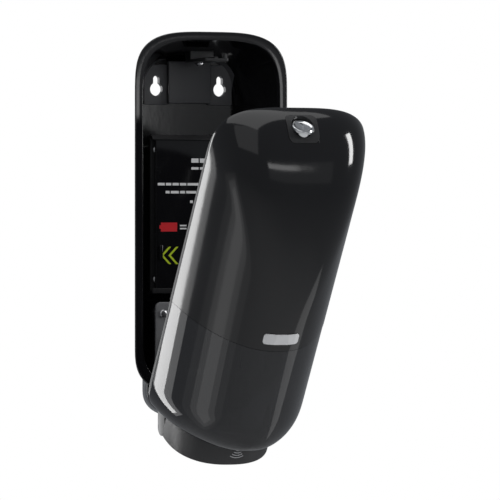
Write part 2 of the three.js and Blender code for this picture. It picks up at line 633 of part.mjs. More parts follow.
const rackPitchLine = OUTPUT_AXIS.forward + (GEARS.rack * GEARS.outputPinionTeeth) / 2;
function rackShape() {
  const pitch = Math.PI * GEARS.rack;
  const root = -(rackPitchLine + 1.15 * GEARS.rack);
  const tip = -(rackPitchLine - 0.8 * GEARS.rack);
  const shape = new THREE.Shape();
  shape.moveTo(root - RACK.back, RACK.low);
  shape.lineTo(root - RACK.back, RACK.high);
  shape.lineTo(root, RACK.high);
  const firstGap = OUTPUT_AXIS.height + pitch * Math.floor((RACK.high - OUTPUT_AXIS.height - 1) / pitch);
  for (let z = firstGap - pitch / 2; z - 0.3 * pitch > RACK.low; z -= pitch) {
    shape.lineTo(root, z + 0.3 * pitch);
    shape.lineTo(tip, z + 0.11 * pitch);
    shape.lineTo(tip, z - 0.11 * pitch);
    shape.lineTo(root, z - 0.3 * pitch);
  }
  shape.lineTo(root, RACK.low);
  shape.closePath();
  return shape;
}

function pumpYoke() {
  const front = NOZZLE.forward + YOKE.hole + 4;
  const plan = roundedRectangle([-YOKE.halfWidth, YOKE.halfWidth], [-front, -plateFront - 1], 3);
  plan.holes.push(circleShape(0, -NOZZLE.forward, YOKE.hole));
  const rackBack = -(rackPitchLine + 1.15 * GEARS.rack);
  const stem = block([gearX.rack, gearX.rack + RACK.width], [-plateFront - 2, rackBack - 1],
    [YOKE.low, YOKE.low + YOKE.thickness]);
  const rack = extrudeAcross(rackShape(), gearX.rack, RACK.width);
  return extrudeUp(plan, YOKE.low, YOKE.thickness).add(stem).add(rack);
}

addTo(model, 'pump_yoke', pumpYoke(), WHITE_GEAR);

function refillCradle() {
  const plan = roundedRectangle([-CRADLE.halfWidth, CRADLE.halfWidth], [-CRADLE.front, -plateFront - 0.4], 4);
  const neck = circleShape(0, -NOZZLE.forward, CRADLE.slot);
  const slab = extrudeUp(plan, CRADLE.low, CRADLE.thickness);
  const slot = extrudeUp(neck, CRADLE.low - 1, CRADLE.thickness + 2);
  const mouth = block([-CRADLE.slot, CRADLE.slot], [-CRADLE.front - 1, -NOZZLE.forward],
    [CRADLE.low - 1, CRADLE.low + CRADLE.thickness + 1]);
  const rail = (side) => block([side * CRADLE.halfWidth, side * (CRADLE.halfWidth - 3)].sort((a, b) => a - b),
    [-CRADLE.front + 4, -plateFront - 0.4], [CRADLE.low + 1, CRADLE.low + CRADLE.thickness + 6]);
  return slab.add(rail(-1)).add(rail(1)).subtract(slot).subtract(mouth);
}

const guideBack = Math.max(plateFront, RIM_DEPTH) + GAP;
function nozzleGuide() {
  const plan = new THREE.Shape();
  plan.moveTo(-NOZZLE.guide, -guideBack);
  plan.absarc(0, -NOZZLE.forward, NOZZLE.guide, Math.PI, 2 * Math.PI, false);
  plan.lineTo(NOZZLE.guide, -guideBack);
  plan.closePath();
  const plate = extrudeUp(plan, NOZZLE.bottom, 3);
  const tube = rodAlongZ(NOZZLE.bore + 2.5, NOZZLE.bottom + 1, NOZZLE.top, 0, -NOZZLE.forward, 32);
  const bore = rodAlongZ(NOZZLE.bore, NOZZLE.bottom - 1, NOZZLE.top + 1, 0, -NOZZLE.forward, 32);
  const wall = [-guideBack - 3, -guideBack];
  let body = plate.add(tube);
  body = body.add(block([-NOZZLE.lugOuter, NOZZLE.lugOuter], wall, [NOZZLE.bottom, FRONT_PLATE.low]));
  for (const side of [-1, 1]) {
    const lug = [side * NOZZLE.lugOuter, side * (NOZZLE.lugOuter - NOZZLE.lug)].sort((a, b) => a - b);
    body = body.add(block(lug, wall, [NOZZLE.bottom, NOZZLE.lugTop]));
  }
  return body.subtract(bore);
}

addTo(model, 'refill_cradle', refillCradle(), SATIN_BLACK);
addTo(model, 'nozzle_guide', nozzleGuide(), SATIN_BLACK);

// ---- electronics ----
const board = { x: 19, thickness: 1.6 };
addTo(model, 'control_board', block([board.x, board.x + board.thickness],
  [-DRIVE.front + 2, -DRIVE.back - DRIVE.wall - 8], [DRIVE.low + DRIVE.wall + 2, DRIVE.high - DRIVE.wall - 2])
  .subtract(place(rodAlongX(GEARS.axle + 0.6, 10, 30, 0, 0, 16), OUTPUT_AXIS))
  .subtract(place(rodAlongX(GEARS.axle + 0.6, 10, 30, 0, 0, 16), REDUCTION_AXIS)), GREEN_BOARD);
for (const [name, x] of [['ir_emitter', -EYE.side], ['ir_receiver', EYE.side]]) {
  addTo(model, name, rodAlongZ(EYE.radius, NOZZLE.bottom + EYE.above, NOZZLE.bottom + EYE.above + EYE.length,
    x, -guideBack - EYE.forward, 16), INFRARED);
}
addTo(model, 'sensor_window', block([-SENSOR_WINDOW.halfWidth, SENSOR_WINDOW.halfWidth],
  [-guideBack - SENSOR_WINDOW.front, -guideBack - SENSOR_WINDOW.back],
  [NOZZLE.bottom - GAP - SENSOR_WINDOW.thickness, NOZZLE.bottom - GAP]), INFRARED);
addTo(model, 'board_capacitor', rodAlongX(3.2, board.x + board.thickness + 0.3,
  board.x + board.thickness + 6.8, -18, 78, 20), CELL_WRAP);

// ---- cover: modelled closed, then swung open about the hinge ----
const cover = new THREE.Group();
cover.position.set(0, -HINGE.forward, HINGE.height);
cover.rotation.x = OPEN_ANGLE;
const coverParts = new THREE.Group();
coverParts.position.set(0, HINGE.forward, -HINGE.height);
cover.add(coverParts);
model.add(cover);

const closing = (share, power) => (1 - share ** power) ** (1 / power);

function coverRing(depth, reach, inset) {
  const share = Math.max(depth, 0) / reach;
  return bodyRing(
    (WIDTH / 2 - inset) * closing(share, COVER_SIDE.power) * (1 - COVER_SIDE.taper * share),
    HEIGHT - inset - COVER_TOP.drop * (1 - closing(share, COVER_TOP.power)),
    BODY_BOTTOM + inset + COVER_BOTTOM.rise * (1 - closing(share, COVER_BOTTOM.power)),
    -RIM_DEPTH - GAP - depth,
  );
}

function coverForm(inset, start) {
  const reach = COVER_DEPTH - GAP - inset;
  const shares = [0.997, 0.985, 0.96, 0.92, 0.86, 0.78, 0.68, 0.56, 0.42, 0.26, 0.12];
  const rings = shares.map((share) => coverRing(share * reach, reach, inset));
  rings.push(coverRing(start, reach, inset));
  return loft(rings);
}

function collarPlan(inset) {
  const halfWidth = COLLAR.halfWidth - inset;
  const reach = COLLAR.reach - inset;
  const shape = new THREE.Shape();
  shape.moveTo(halfWidth, -RIM_DEPTH + 2);
  shape.lineTo(-halfWidth, -RIM_DEPTH + 2);
  const round = quarter(COLLAR.power, 10);
  for (const [u, v] of round) shape.lineTo(-u * halfWidth, -RIM_DEPTH - v * reach);
  for (const [u, v] of round.slice(0, -1).reverse()) {
    shape.lineTo(u * halfWidth, -RIM_DEPTH - v * reach);
  }
  shape.closePath();
  return shape;
}

const hull = coverForm(0, 0).subtract(coverForm(COVER_WALL, -1));
const everywhere = [-200, 200];
const aboveSplit = block(everywhere, everywhere, [WINDOW_TOP + GAP / 2, HEIGHT + 50]);
const belowSplit = block(everywhere, everywhere, [-50, WINDOW_TOP - GAP / 2]);

const insertX = [-LOCK.insertHalf, LOCK.insertHalf];
const insertY = [-LOCK.forward - LOCK.insertDepth, -LOCK.forward + LOCK.insertDepth];
function insertPlan(grow) {
  return roundedRectangle([insertX[0] - grow, insertX[1] + grow], [insertY[0] - grow, insertY[1] + grow],
    4 + grow);
}

function coverShell() {
  const opening = extrudeUp(insertPlan(GAP), LOCK.insertBottom - 20, 60);
  return hull.intersect(aboveSplit).subtract(opening);
}

function coverWindow() {
  const mouth = extrudeUp(collarPlan(-GAP), -20, 20 + COLLAR.top + 20);
  return hull.intersect(belowSplit).subtract(mouth);
}

function lockInsert() {
  const blank = extrudeUp(insertPlan(0), LOCK.insertBottom, 20);
  const bore = rodAlongZ(LOCK.barrel + GAP, LOCK.insertBottom - 1, HEIGHT + 5, 0, -LOCK.forward, 28);
  return blank.intersect(coverForm(-0.5, 0)).subtract(bore);
}

const barrelTop = HEIGHT - COVER_TOP.drop * (1 - closing((LOCK.forward - RIM_DEPTH) / COVER_DEPTH,
  COVER_TOP.power)) + LOCK.proud;

function lockBarrel() {
  const barrel = rodAlongZ(LOCK.barrel, CAM.top + 0.3, barrelTop, 0, -LOCK.forward, 32);
  const keyway = block([-0.7, 0.7], [-LOCK.forward - 3.4, -LOCK.forward + 3.4],
    [barrelTop - 2.4, barrelTop + 1]);
  return barrel.subtract(keyway);
}

// Unlocked, the cam points to the left; a quarter turn brings its hook behind the striker's post.
function lockCam() {
  const shape = new THREE.Shape();
  shape.moveTo(CAM.halfWidth, -CAM.halfWidth);
  shape.lineTo(CAM.halfWidth, CAM.halfWidth - 0.4);
  shape.lineTo(-CAM.inner, CAM.halfWidth - 0.4);
  shape.lineTo(-CAM.inner, CAM.hook);
  shape.lineTo(-CAM.reach, CAM.hook);
  shape.lineTo(-CAM.reach, -CAM.halfWidth);
  shape.closePath();
  return extrudeUp(shape, CAM.top - CAM.thickness, CAM.thickness).translate([0, -LOCK.forward, 0]);
}

// The hinge arm in side view, from the knuckle up to the web at the back of the collar.
function armOutline() {
  const shape = new THREE.Shape();
  shape.moveTo(-HINGE.forward, HINGE.height - HINGE.knuckle + 0.1);
  shape.lineTo(-HINGE.forward, HINGE.height + HINGE.knuckle - 0.1);
  shape.lineTo(-RIM_DEPTH - 3, ARM.top);
  shape.lineTo(-RIM_DEPTH - 3, ARM.bottom);
  shape.closePath();
  return shape;
}

function sensorCollar() {
  const shell = extrudeUp(collarPlan(0), COLLAR.bottom, COLLAR.top - COLLAR.bottom);
  const core = extrudeUp(collarPlan(COLLAR.wall), COLLAR.bottom - 1, COLLAR.top - COLLAR.bottom + 2);
  const rear = block([-60, 60], [-RIM_DEPTH, 0], [-20, COLLAR.top + 1]);
  let body = shell.subtract(core).subtract(rear);
  for (const side of [-1, 1]) {
    const armX = [side * ARM.inner, side * ARM.outer].sort((a, b) => a - b);
    const webX = [side * ARM.inner, side * (COLLAR.halfWidth - 0.5)].sort((a, b) => a - b);
    const arm = extrudeAcross(armOutline(), armX[0], armX[1] - armX[0]);
    const web = block(webX, [-RIM_DEPTH - 3, -RIM_DEPTH - 0.6], [ARM.bottom, ARM.top]);
    const knuckle = rodAlongX(HINGE.knuckle, armX[0], armX[1], -HINGE.forward, HINGE.height, 24);
    const bore = rodAlongX(HINGE.pin + 0.35, armX[0] - 1, armX[1] + 1, -HINGE.forward, HINGE.height, 24);
    body = body.add(arm).add(web).add(knuckle).subtract(bore);
  }
  return body;
}

function coverBadge() {
  const outline = roundedRectangle([-BADGE.halfWidth, BADGE.halfWidth], [BADGE.low, BADGE.high], 2);
  const plate = extrudeForward(outline, RIM_DEPTH + COVER_DEPTH - 3, 5);
  return plate.intersect(coverForm(-0.9, 0)).subtract(coverForm(-0.3, -1));
}

addTo(coverParts, 'cover_shell', coverShell(), GLOSS_BLACK);
addTo(coverParts, 'cover_window', coverWindow(), SMOKE);
addTo(coverParts, 'sensor_collar', sensorCollar(), SATIN_BLACK);
addTo(coverParts, 'lock_insert', lockInsert(), SATIN_BLACK);
addTo(coverParts, 'lock_barrel', lockBarrel(), CHROME);
addTo(coverParts, 'lock_cam', lockCam(), STEEL);
addTo(coverParts, 'cover_badge', coverBadge(), BADGE_WHITE);

export default model;
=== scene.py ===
# A wall mounted automatic soap dispenser, its glossy cover hanging open from the tray-shaped housing.
import json
import math
from math import cos, radians, sin

import bmesh
import bpy
from mathutils import Matrix, Vector


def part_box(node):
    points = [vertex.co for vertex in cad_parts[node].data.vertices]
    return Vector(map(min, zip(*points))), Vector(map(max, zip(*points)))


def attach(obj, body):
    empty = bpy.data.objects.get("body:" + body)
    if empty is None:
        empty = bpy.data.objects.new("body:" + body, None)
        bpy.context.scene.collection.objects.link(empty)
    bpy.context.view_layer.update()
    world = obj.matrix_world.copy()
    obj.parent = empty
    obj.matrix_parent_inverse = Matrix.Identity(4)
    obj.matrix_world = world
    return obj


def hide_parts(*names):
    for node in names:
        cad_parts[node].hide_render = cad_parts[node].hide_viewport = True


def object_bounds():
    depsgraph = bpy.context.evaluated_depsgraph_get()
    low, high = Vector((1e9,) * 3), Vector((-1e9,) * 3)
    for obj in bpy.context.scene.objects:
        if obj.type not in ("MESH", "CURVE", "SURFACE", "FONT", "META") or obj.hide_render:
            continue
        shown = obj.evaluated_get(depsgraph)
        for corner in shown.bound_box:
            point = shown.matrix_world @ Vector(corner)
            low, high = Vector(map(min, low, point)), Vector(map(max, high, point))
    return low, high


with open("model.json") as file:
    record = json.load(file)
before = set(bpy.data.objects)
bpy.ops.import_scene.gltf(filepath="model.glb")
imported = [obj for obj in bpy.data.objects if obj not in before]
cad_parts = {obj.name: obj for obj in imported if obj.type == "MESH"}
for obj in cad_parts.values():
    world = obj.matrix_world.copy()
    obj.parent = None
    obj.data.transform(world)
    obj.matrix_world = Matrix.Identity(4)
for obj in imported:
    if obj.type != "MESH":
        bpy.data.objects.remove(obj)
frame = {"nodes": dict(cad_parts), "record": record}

cad_low, cad_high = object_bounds()

# ---------------------------------------------------------------------------------------------
# Camera and studio: a long lens from the front left, level with the middle of the body, over a
# plain pale floor, with broad soft boxes that give the black gloss its long reflections.
scene = bpy.context.scene
scene.view_settings.view_transform = "Standard"

camera_data = bpy.data.cameras.new("camera")
camera = bpy.data.objects.new("camera", camera_data)
scene.collection.objects.link(camera)
scene.camera = camera
view_angle = radians(23)
view_right = Vector((cos(view_angle), -sin(view_angle), 0))
view_forward = Vector((sin(view_angle), cos(view_angle), 0))
view_distance, frame_width = 4.0, 0.3517
aim_right, aim_back, aim_height = 0.0456, 0.0442, -0.0155
camera_data.lens = camera_data.sensor_width * view_distance / frame_width
camera_data.clip_end = 100
camera.location = view_right * aim_right - view_forward * (view_distance + aim_back)
camera.location.z = aim_height
camera.rotation_mode = "QUATERNION"
camera.rotation_quaternion = view_forward.to_track_quat("-Z", "Y")

floor_mesh = bpy.data.meshes.new("floor")
floor_half, floor_height = 6.0, cad_low.z - 1.2
floor_mesh.from_pydata([(-floor_half, -floor_half, floor_height), (floor_half, -floor_half, floor_height),
                        (floor_half, floor_half, floor_height), (-floor_half, floor_half, floor_height)],
                       [], [(0, 1, 2, 3)])
floor = bpy.data.objects.new("floor", floor_mesh)
scene.collection.objects.link(floor)
floor_paint = bpy.data.materials.new("studio_floor")
floor_paint.use_nodes = True
floor_shader = floor_paint.node_tree.nodes["Principled BSDF"]
floor_shader.inputs["Base Color"].default_value = (0.93, 0.93, 0.93, 1)
floor_shader.inputs["Roughness"].default_value = 0.8
floor_mesh.materials.append(floor_paint)


def add_node(tree, kind, values=None, feeds=None, **settings):
    """A node with its settings, the plain values of its sockets and the outputs that feed others."""
    node = tree.nodes.new(kind)
    for name, setting in settings.items():
        setattr(node, name, setting)
    for name, value in (values or {}).items():
        node.inputs[name].default_value = value
    for name, source in (feeds or {}).items():
        tree.links.new(source, node.inputs[name])
    return node


# The room shows white behind the object and lights it only dimly.
world = bpy.data.worlds.new("studio")
scene.world = world
world.use_nodes = True
sky = world.node_tree
sky.nodes.clear()
sky_seen = add_node(sky, "ShaderNodeBackground", {"Color": (1, 1, 1, 1)})
sky_lit = add_node(sky, "ShaderNodeBackground", {"Color": (0.9, 0.94, 1, 1), "Strength": 0.22})
sky_path = add_node(sky, "ShaderNodeLightPath")
sky_mix = add_node(sky, "ShaderNodeMixShader", feeds={
    0: sky_path.outputs["Is Camera Ray"], 1: sky_lit.outputs[0], 2: sky_seen.outputs[0]})
add_node(sky, "ShaderNodeOutputWorld", feeds={"Surface": sky_mix.outputs[0]})


def soft_box(name, place, aim, width, height, power):
    light = bpy.data.lights.new(name, "AREA")
    light.shape = "RECTANGLE"
    light.size, light.size_y = width, height
    light.energy = power
    lamp = bpy.data.objects.new(name, light)
    scene.collection.objects.link(lamp)
    lamp.location = place
    lamp.rotation_mode = "QUATERNION"
    lamp.rotation_quaternion = (Vector(aim) - Vector(place)).to_track_quat("-Z", "Y")


soft_box("left_strip", (-0.68, 0.45, -0.12), (0, -0.12, -0.02), 0.12, 0.9, 2.5)
soft_box("left_strip_wash", (-0.7, 0.42, -0.14), (0, -0.12, -0.02), 0.22, 0.95, 0.9)
soft_box("left_low_core", (-0.93, -0.02, -0.62), (0, -0.15, -0.02), 0.16, 0.6, 0.13)
soft_box("left_low_band", (-0.95, -0.02, -0.64), (0, -0.15, -0.02), 0.34, 0.75, 0.3)
soft_box("left_low_wash", (-0.97, -0.02, -0.66), (0, -0.15, -0.02), 0.6, 0.9, 0.22)
soft_box("right_window", (1.34, -0.82, 0.46), (0, -0.2, 0.06), 0.26, 0.8, 10)
soft_box("right_low", (0.8, -0.25, -0.74), (0, -0.15, -0.06), 0.3, 0.34, 0.2)
soft_box("overhead", (-0.3, -0.2, 1.9), (0, 0.1, -0.4), 2.4, 2.0, 18)
soft_box("back_panel", (-0.75, 1.5, 0.05), (0, -0.05, 0), 1.0, 1.0, 4.5)
soft_box("brow_light", (0.4, -2.15, 0.12), (0, -0.2, 0.04), 0.8, 0.14, 0.9)
soft_box("front_wash", (0.62, -2.2, 0.02), (0, -0.1, 0), 1.3, 0.55, 0.3)
soft_box("front_left_fill", (-1.5, -2.2, 1.6), (0, -0.1, 0), 2.6, 2.2, 7)


# ---------------------------------------------------------------------------------------------
# Moulded plastics. The tray and the cover are high gloss ABS: a deep black with a polished skin,
# faint orange peel and fine dust. Inner mouldings are a spark-eroded satin black.
def shader_material(name, colour, roughness, metallic=0.0):
    material = bpy.data.materials.new(name)
    material.use_nodes = True
    shader = material.node_tree.nodes["Principled BSDF"]
    shader.inputs["Base Color"].default_value = (*colour, 1)
    shader.inputs["Roughness"].default_value = roughness
    shader.inputs["Metallic"].default_value = metallic
    return material, material.node_tree, shader


def new_group(name, kind, sockets):
    group = bpy.data.node_groups.new(name, kind)
    for label, way, socket_kind in sockets:
        group.interface.new_socket(label, in_out=way, socket_type="NodeSocket" + socket_kind)
    return group, group.nodes.new("NodeGroupInput").outputs, group.nodes.new("NodeGroupOutput").inputs


def make_surface_group():
    """Shared wear of a moulded or turned surface: colour drift, roughness patches, dust and relief."""
    group, entry, result = new_group("surface_wear", "ShaderNodeTree", (
        ("Colour", "INPUT", "Color"), ("Roughness", "INPUT", "Float"), ("Grain Scale", "INPUT", "Float"),
        ("Grain Height", "INPUT", "Float"), ("Dust", "INPUT", "Float"), ("Drift", "INPUT", "Float"),
        ("Colour", "OUTPUT", "Color"), ("Roughness", "OUTPUT", "Float"), ("Normal", "OUTPUT", "Vector")))
    place = add_node(group, "ShaderNodeTexCoord").outputs["Object"]
    patches = add_node(group, "ShaderNodeTexNoise", {"Scale": 22, "Detail": 4}, {"Vector": place})
    specks = add_node(group, "ShaderNodeTexNoise", {"Scale": 1900, "Detail": 2}, {"Vector": place})
    speck_mask = add_node(group, "ShaderNodeMapRange", {"From Min": 0.68, "From Max": 0.78},
                          {"Value": specks.outputs["Fac"]})
    dust = add_node(group, "ShaderNodeMath", feeds={0: speck_mask.outputs["Result"], 1: entry["Dust"]},
                    operation="MULTIPLY")
    drift = add_node(group, "ShaderNodeMapRange", {"To Min": -0.5, "To Max": 0.5},
                     {"Value": patches.outputs["Fac"]})
    drift_amount = add_node(group, "ShaderNodeMath", {2: 1}, operation="MULTIPLY_ADD",
                            feeds={0: drift.outputs["Result"], 1: entry["Drift"]})
    tinted = add_node(group, "ShaderNodeVectorMath", feeds={0: entry["Colour"]}, operation="SCALE")
    group.links.new(drift_amount.outputs[0], tinted.inputs["Scale"])
    dusted = add_node(group, "ShaderNodeMix", data_type="RGBA", values={"B": (0.32, 0.31, 0.3, 1)},
                      feeds={"Factor": dust.outputs[0], "A": tinted.outputs["Vector"]})
    rough = add_node(group, "ShaderNodeMath", feeds={0: entry["Roughness"], 1: drift_amount.outputs[0]},
                     operation="MULTIPLY")
    rough_dusty = add_node(group, "ShaderNodeMath", feeds={0: rough.outputs[0], 1: dust.outputs[0]},
                           operation="ADD")
    grain = add_node(group, "ShaderNodeTexNoise", {"Detail": 3},
                     {"Vector": place, "Scale": entry["Grain Scale"]})
    height = add_node(group, "ShaderNodeMath", feeds={0: grain.outputs["Fac"], 1: entry["Grain Height"]},
                      operation="MULTIPLY")
    relief = add_node(group, "ShaderNodeBump", {"Strength": 1, "Distance": 0.001},
                      {"Height": height.outputs[0]})
    group.links.new(dusted.outputs["Result"], result["Colour"])
    group.links.new(rough_dusty.outputs[0], result["Roughness"])
    group.links.new(relief.outputs["Normal"], result["Normal"])
    return group


surface_wear = make_surface_group()


def worn(name, colour, roughness, metallic=0.0, grain=(600, 0.02), dust=0.05, drift=0.3):
    """A material whose colour, roughness and relief come through the shared surface group."""
    material, tree, shader = shader_material(name, colour, roughness, metallic)
    wear = add_node(tree, "ShaderNodeGroup", node_tree=surface_wear, values={
        "Colour": (*colour, 1), "Roughness": roughness, "Grain Scale": grain[0], "Grain Height": grain[1],
        "Dust": dust, "Drift": drift})
    tree.links.new(wear.outputs["Colour"], shader.inputs["Base Color"])
    tree.links.new(wear.outputs["Roughness"], shader.inputs["Roughness"])
    tree.links.new(wear.outputs["Normal"], shader.inputs["Normal"])
    return material, tree, shader


deep_black, polish = (0.0065, 0.0065, 0.0075), 0.09
gloss_black, _, _ = worn("gloss_black_abs", deep_black, polish, grain=(260, 0.012), dust=0.012, drift=0.5)
satin_black, _, _ = worn("satin_black_abs", (0.012, 0.012, 0.013), 0.38, grain=(2600, 0.06), dust=0.02)


def dress(node_names, material):
    """Gives carried-over mouldings their finish."""
    for node_name in node_names:
        mesh = frame["nodes"][node_name].data
        mesh.materials.clear()
        mesh.materials.append(material)


def fit(name, mesh, material, sharp, body, finish, *nodes):
    """A finished mesh becomes a piece at the origin, smooth except along edges sharper than an angle;
    it stands for the nodes it is a finer form of and rides on a body; the finish argument is not used."""
    piece = bpy.data.objects.new(name, mesh)
    scene.collection.objects.link(piece)
    mesh.materials.clear()
    mesh.materials.append(material)
    mesh.polygons.foreach_set("use_smooth", [True] * len(mesh.polygons))
    mesh.set_sharp_from_angle(angle=radians(sharp))
    if nodes:
        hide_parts(*nodes)
    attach(piece, body)


# ---------------------------------------------------------------------------------------------
# Rear housing. One deep injection-moulded tray of gloss black: a flat shoulder round the rim,
# walls that bend in towards the wall plate, keyhole plates, a raised pad and two inner lips.
housing_low, housing_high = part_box("rear_housing")
half_width = housing_high.x
body_top = housing_high.z
body_bottom = body_top - 0.256
rim_y = -0.048
tray_wall = 0.0025
shoulder_width, shoulder_depth = 0.006, 0.003
top_round, top_power = 0.045, 3.5
bottom_round, bottom_power = 0.034, 3.0
top_points, side_points = 44, 24


def superellipse(power, count):
    """A quarter of a superellipse from (1, 0) to (0, 1), stepped evenly along its length."""
    fine = 600
    curve = []
    for i in range(fine + 1):
        angle = i / fine * math.pi / 2
        curve.append((max(cos(angle), 0) ** (2 / power), sin(angle) ** (2 / power)))
    curve[-1] = (0.0, 1.0)
    run = [0.0]
    for here, there in zip(curve, curve[1:]):
        run.append(run[-1] + math.dist(here, there))
    points, k = [], 0
    for i in range(count + 1):
        goal = run[-1] * i / count
        while k < fine - 1 and run[k + 1] < goal:
            k += 1
        share = (goal - run[k]) / (run[k + 1] - run[k])
        points.append(tuple(a + (b - a) * share for a, b in zip(curve[k], curve[k + 1])))
    return points


top_quarter = superellipse(top_power, top_points)
bottom_quarter = superellipse(bottom_power, top_points)


def body_ring(half, top, bottom, y):
    """The body's outline in front view at depth y, anticlockwise from the right shoulder."""
    shoulder, foot = top - top_round, bottom + bottom_round
    ring = [(u * half, shoulder + v * top_round) for u, v in top_quarter]
    ring += [(-u * half, shoulder + v * top_round) for u, v in reversed(top_quarter[:-1])]
    ring += [(-half, shoulder + (foot - shoulder) * i / side_points) for i in range(1, side_points)]
    ring += [(-u * half, foot - v * bottom_round) for u, v in bottom_quarter]
    ring += [(u * half, foot - v * bottom_round) for u, v in reversed(bottom_quarter[:-1])]
    ring += [(half, foot + (shoulder - foot) * i / side_points) for i in range(1, side_points)]
    return [Vector((x, y, z)) for x, z in ring]


def mesh_from(build, name):
    mesh = bpy.data.meshes.new(name)
    build.to_mesh(mesh)
    build.free()
    return mesh


def mesh_through(name, rings):
    """A closed mesh through rings of equal counts, with its first and last ring filled."""
    build = bmesh.new()
    rows = [[build.verts.new(p) for p in ring] for ring in rings]
    for row, after in zip(rows, rows[1:]):
        for i in range(len(row)):
            j = (i + 1) % len(row)
            build.faces.new((row[i], row[j], after[j], after[i]))
    for row in (rows[0], rows[-1]):
        centre = build.verts.new(sum((v.co for v in row), Vector()) / len(row))
        for i in range(len(row)):
            build.faces.new((row[i], row[(i + 1) % len(row)], centre))
    bmesh.ops.remove_doubles(build, verts=build.verts, dist=1e-6)
    bmesh.ops.dissolve_degenerate(build, dist=1e-7, edges=build.edges)
    bmesh.ops.recalc_face_normals(build, faces=build.faces)
    return mesh_from(build, name)


# Where an outline's two measures and its distance along an axis go in x, y, z.
axis_turns = {"x": lambda a, b, c: (c, a, b), "y": lambda a, b, c: (a, c, b),
              "z": lambda a, b, c: (a, b, c)}


def rounded_prism(outline, start, depth, along="y", edge=0.0006):
    """An outline pushed along an axis, its rims rolled over by a small radius."""
    build = bmesh.new()
    turn = axis_turns[along]
    near = [build.verts.new(turn(a, b, start)) for a, b in outline]
    far = [build.verts.new(turn(a, b, start + depth)) for a, b in outline]
    build.faces.new(near)
    build.faces.new(far)
    for i in range(len(near)):
        j = (i + 1) % len(near)
        build.faces.new((near[i], near[j], far[j], far[i]))
    bmesh.ops.recalc_face_normals(build, faces=build.faces)
    if edge:
        rim = [e for e in build.edges if e.calc_face_angle(0) > radians(50)]
        bmesh.ops.bevel(build, geom=rim, offset=edge, segments=3, profile=0.5, affect="EDGES",
                        clamp_overlap=True)
    return mesh_from(build, "prism")


def rounded_box(low, high, edge=0.0006):
    outline = [(low[0], low[1]), (high[0], low[1]), (high[0], high[1]), (low[0], high[1])]
    return rounded_prism(outline, low[2], high[2] - low[2], "z", edge)


def rounded_plate(x, z, radius, steps=8):
    """A rectangle with round corners, as (x, z) points."""
    points = []
    for cx, cz, first in ((x[1] - radius, z[0] + radius, -90), (x[1] - radius, z[1] - radius, 0),
                          (x[0] + radius, z[1] - radius, 90), (x[0] + radius, z[0] + radius, 180)):
        for i in range(steps + 1):
            angle = radians(first + 90 * i / steps)
            points.append((cx + radius * cos(angle), cz + radius * sin(angle)))
    return points


def arc(x, z, radius, angles):
    """Points round a centre, at angles in degrees."""
    return [(x + radius * cos(radians(a)), z + radius * sin(radians(a))) for a in angles]


def circle(x, z, radius, steps=40):
    return arc(x, z, radius, [360 * i / steps for i in range(steps)])


def carve(mesh, tools):
    """Joins or cuts a mesh with others, in order; tools are (operation, mesh)."""
    base = bpy.data.objects.new("blank", mesh)
    scene.collection.objects.link(base)
    spare = []
    for operation, tool_mesh in tools:
        tool = bpy.data.objects.new("tool", tool_mesh)
        scene.collection.objects.link(tool)
        spare.append(tool)
        step = base.modifiers.new("carve", "BOOLEAN")
        step.operation = operation
        step.solver = "EXACT"
        step.object = tool
    bpy.context.view_layer.update()
    shaped = bpy.data.meshes.new_from_object(base.evaluated_get(bpy.context.evaluated_depsgraph_get()))
    for extra in [base, *spare]:
        bpy.data.objects.remove(extra)
    shaped.materials.clear()
    return shaped


def add_box(low, high, edge):
    return "UNION", rounded_box(low, high, edge)


def cut_box(low, high):
    return "DIFFERENCE", rounded_box(low, high, 0)


def bore(x, z, radius, start, depth, along="y", steps=24):
    return "DIFFERENCE", rounded_prism(circle(x, z, radius, steps), start, depth, along, 0)


def tray_ring(share, inset, step_in=0.0):
    """The tray's outline a share of the way from its rim to the wall."""
    bend = share ** 1.15
    return body_ring(half_width - inset - 0.022 * bend, body_top - inset - 0.016 * bend,
                     body_bottom + inset + 0.004 * bend, rim_y * (1 - share) + step_in)


depth_steps = 26
outside = [tray_ring(1 - i / depth_steps, 0) for i in range(depth_steps)]
outside[0:1] = [tray_ring(1, 0.001), tray_ring(0.985, 0)]
rim_edge = 0.0009
inner_edge = rim_edge * 0.6
rim_roll = []
for i in range(6):
    angle = radians(90 * i / 5)
    roll = rim_edge * (1 - cos(angle))
    rim_roll.append([p + Vector((0, rim_edge * (1 - sin(angle)), 0)) for p in tray_ring(0, roll)])
inner_roll = []
for i in range(5):
    angle = radians(90 * i / 4)
    inset = shoulder_width - inner_edge * (1 - sin(angle))
    step_back = Vector((0, inner_edge * (1 - cos(angle)), 0))
    inner_roll.append([p + step_back for p in tray_ring(0, inset)])
inside = [tray_ring(shoulder_depth / -rim_y, shoulder_width)]
inside_shares = [0.075 + (1 - tray_wall / -rim_y - 0.075) * i / depth_steps for i in range(depth_steps + 1)]
inside += [tray_ring(share, tray_wall) for share in inside_shares[:-1]]
deepest = inside_shares[-1]
inside += [tray_ring(deepest, tray_wall + 0.0008, -0.0002), tray_ring(deepest, tray_wall + 0.003)]
tray_mesh = mesh_through("rear_housing_gloss", outside + rim_roll + inner_roll + inside)

neck_half, neck_low, neck_round, neck_top = 0.041, body_top - 0.2725, 0.0205, body_top - 0.218
neck_quarter = superellipse(2.5, 18)
neck_outline = [(neck_half, neck_top), (-neck_half, neck_top)]
neck_outline += [(-u * neck_half, neck_low + neck_round * (1 - v)) for u, v in neck_quarter]
neck_outline += [(u * neck_half, neck_low + neck_round * (1 - v)) for u, v in reversed(neck_quarter[:-1])]

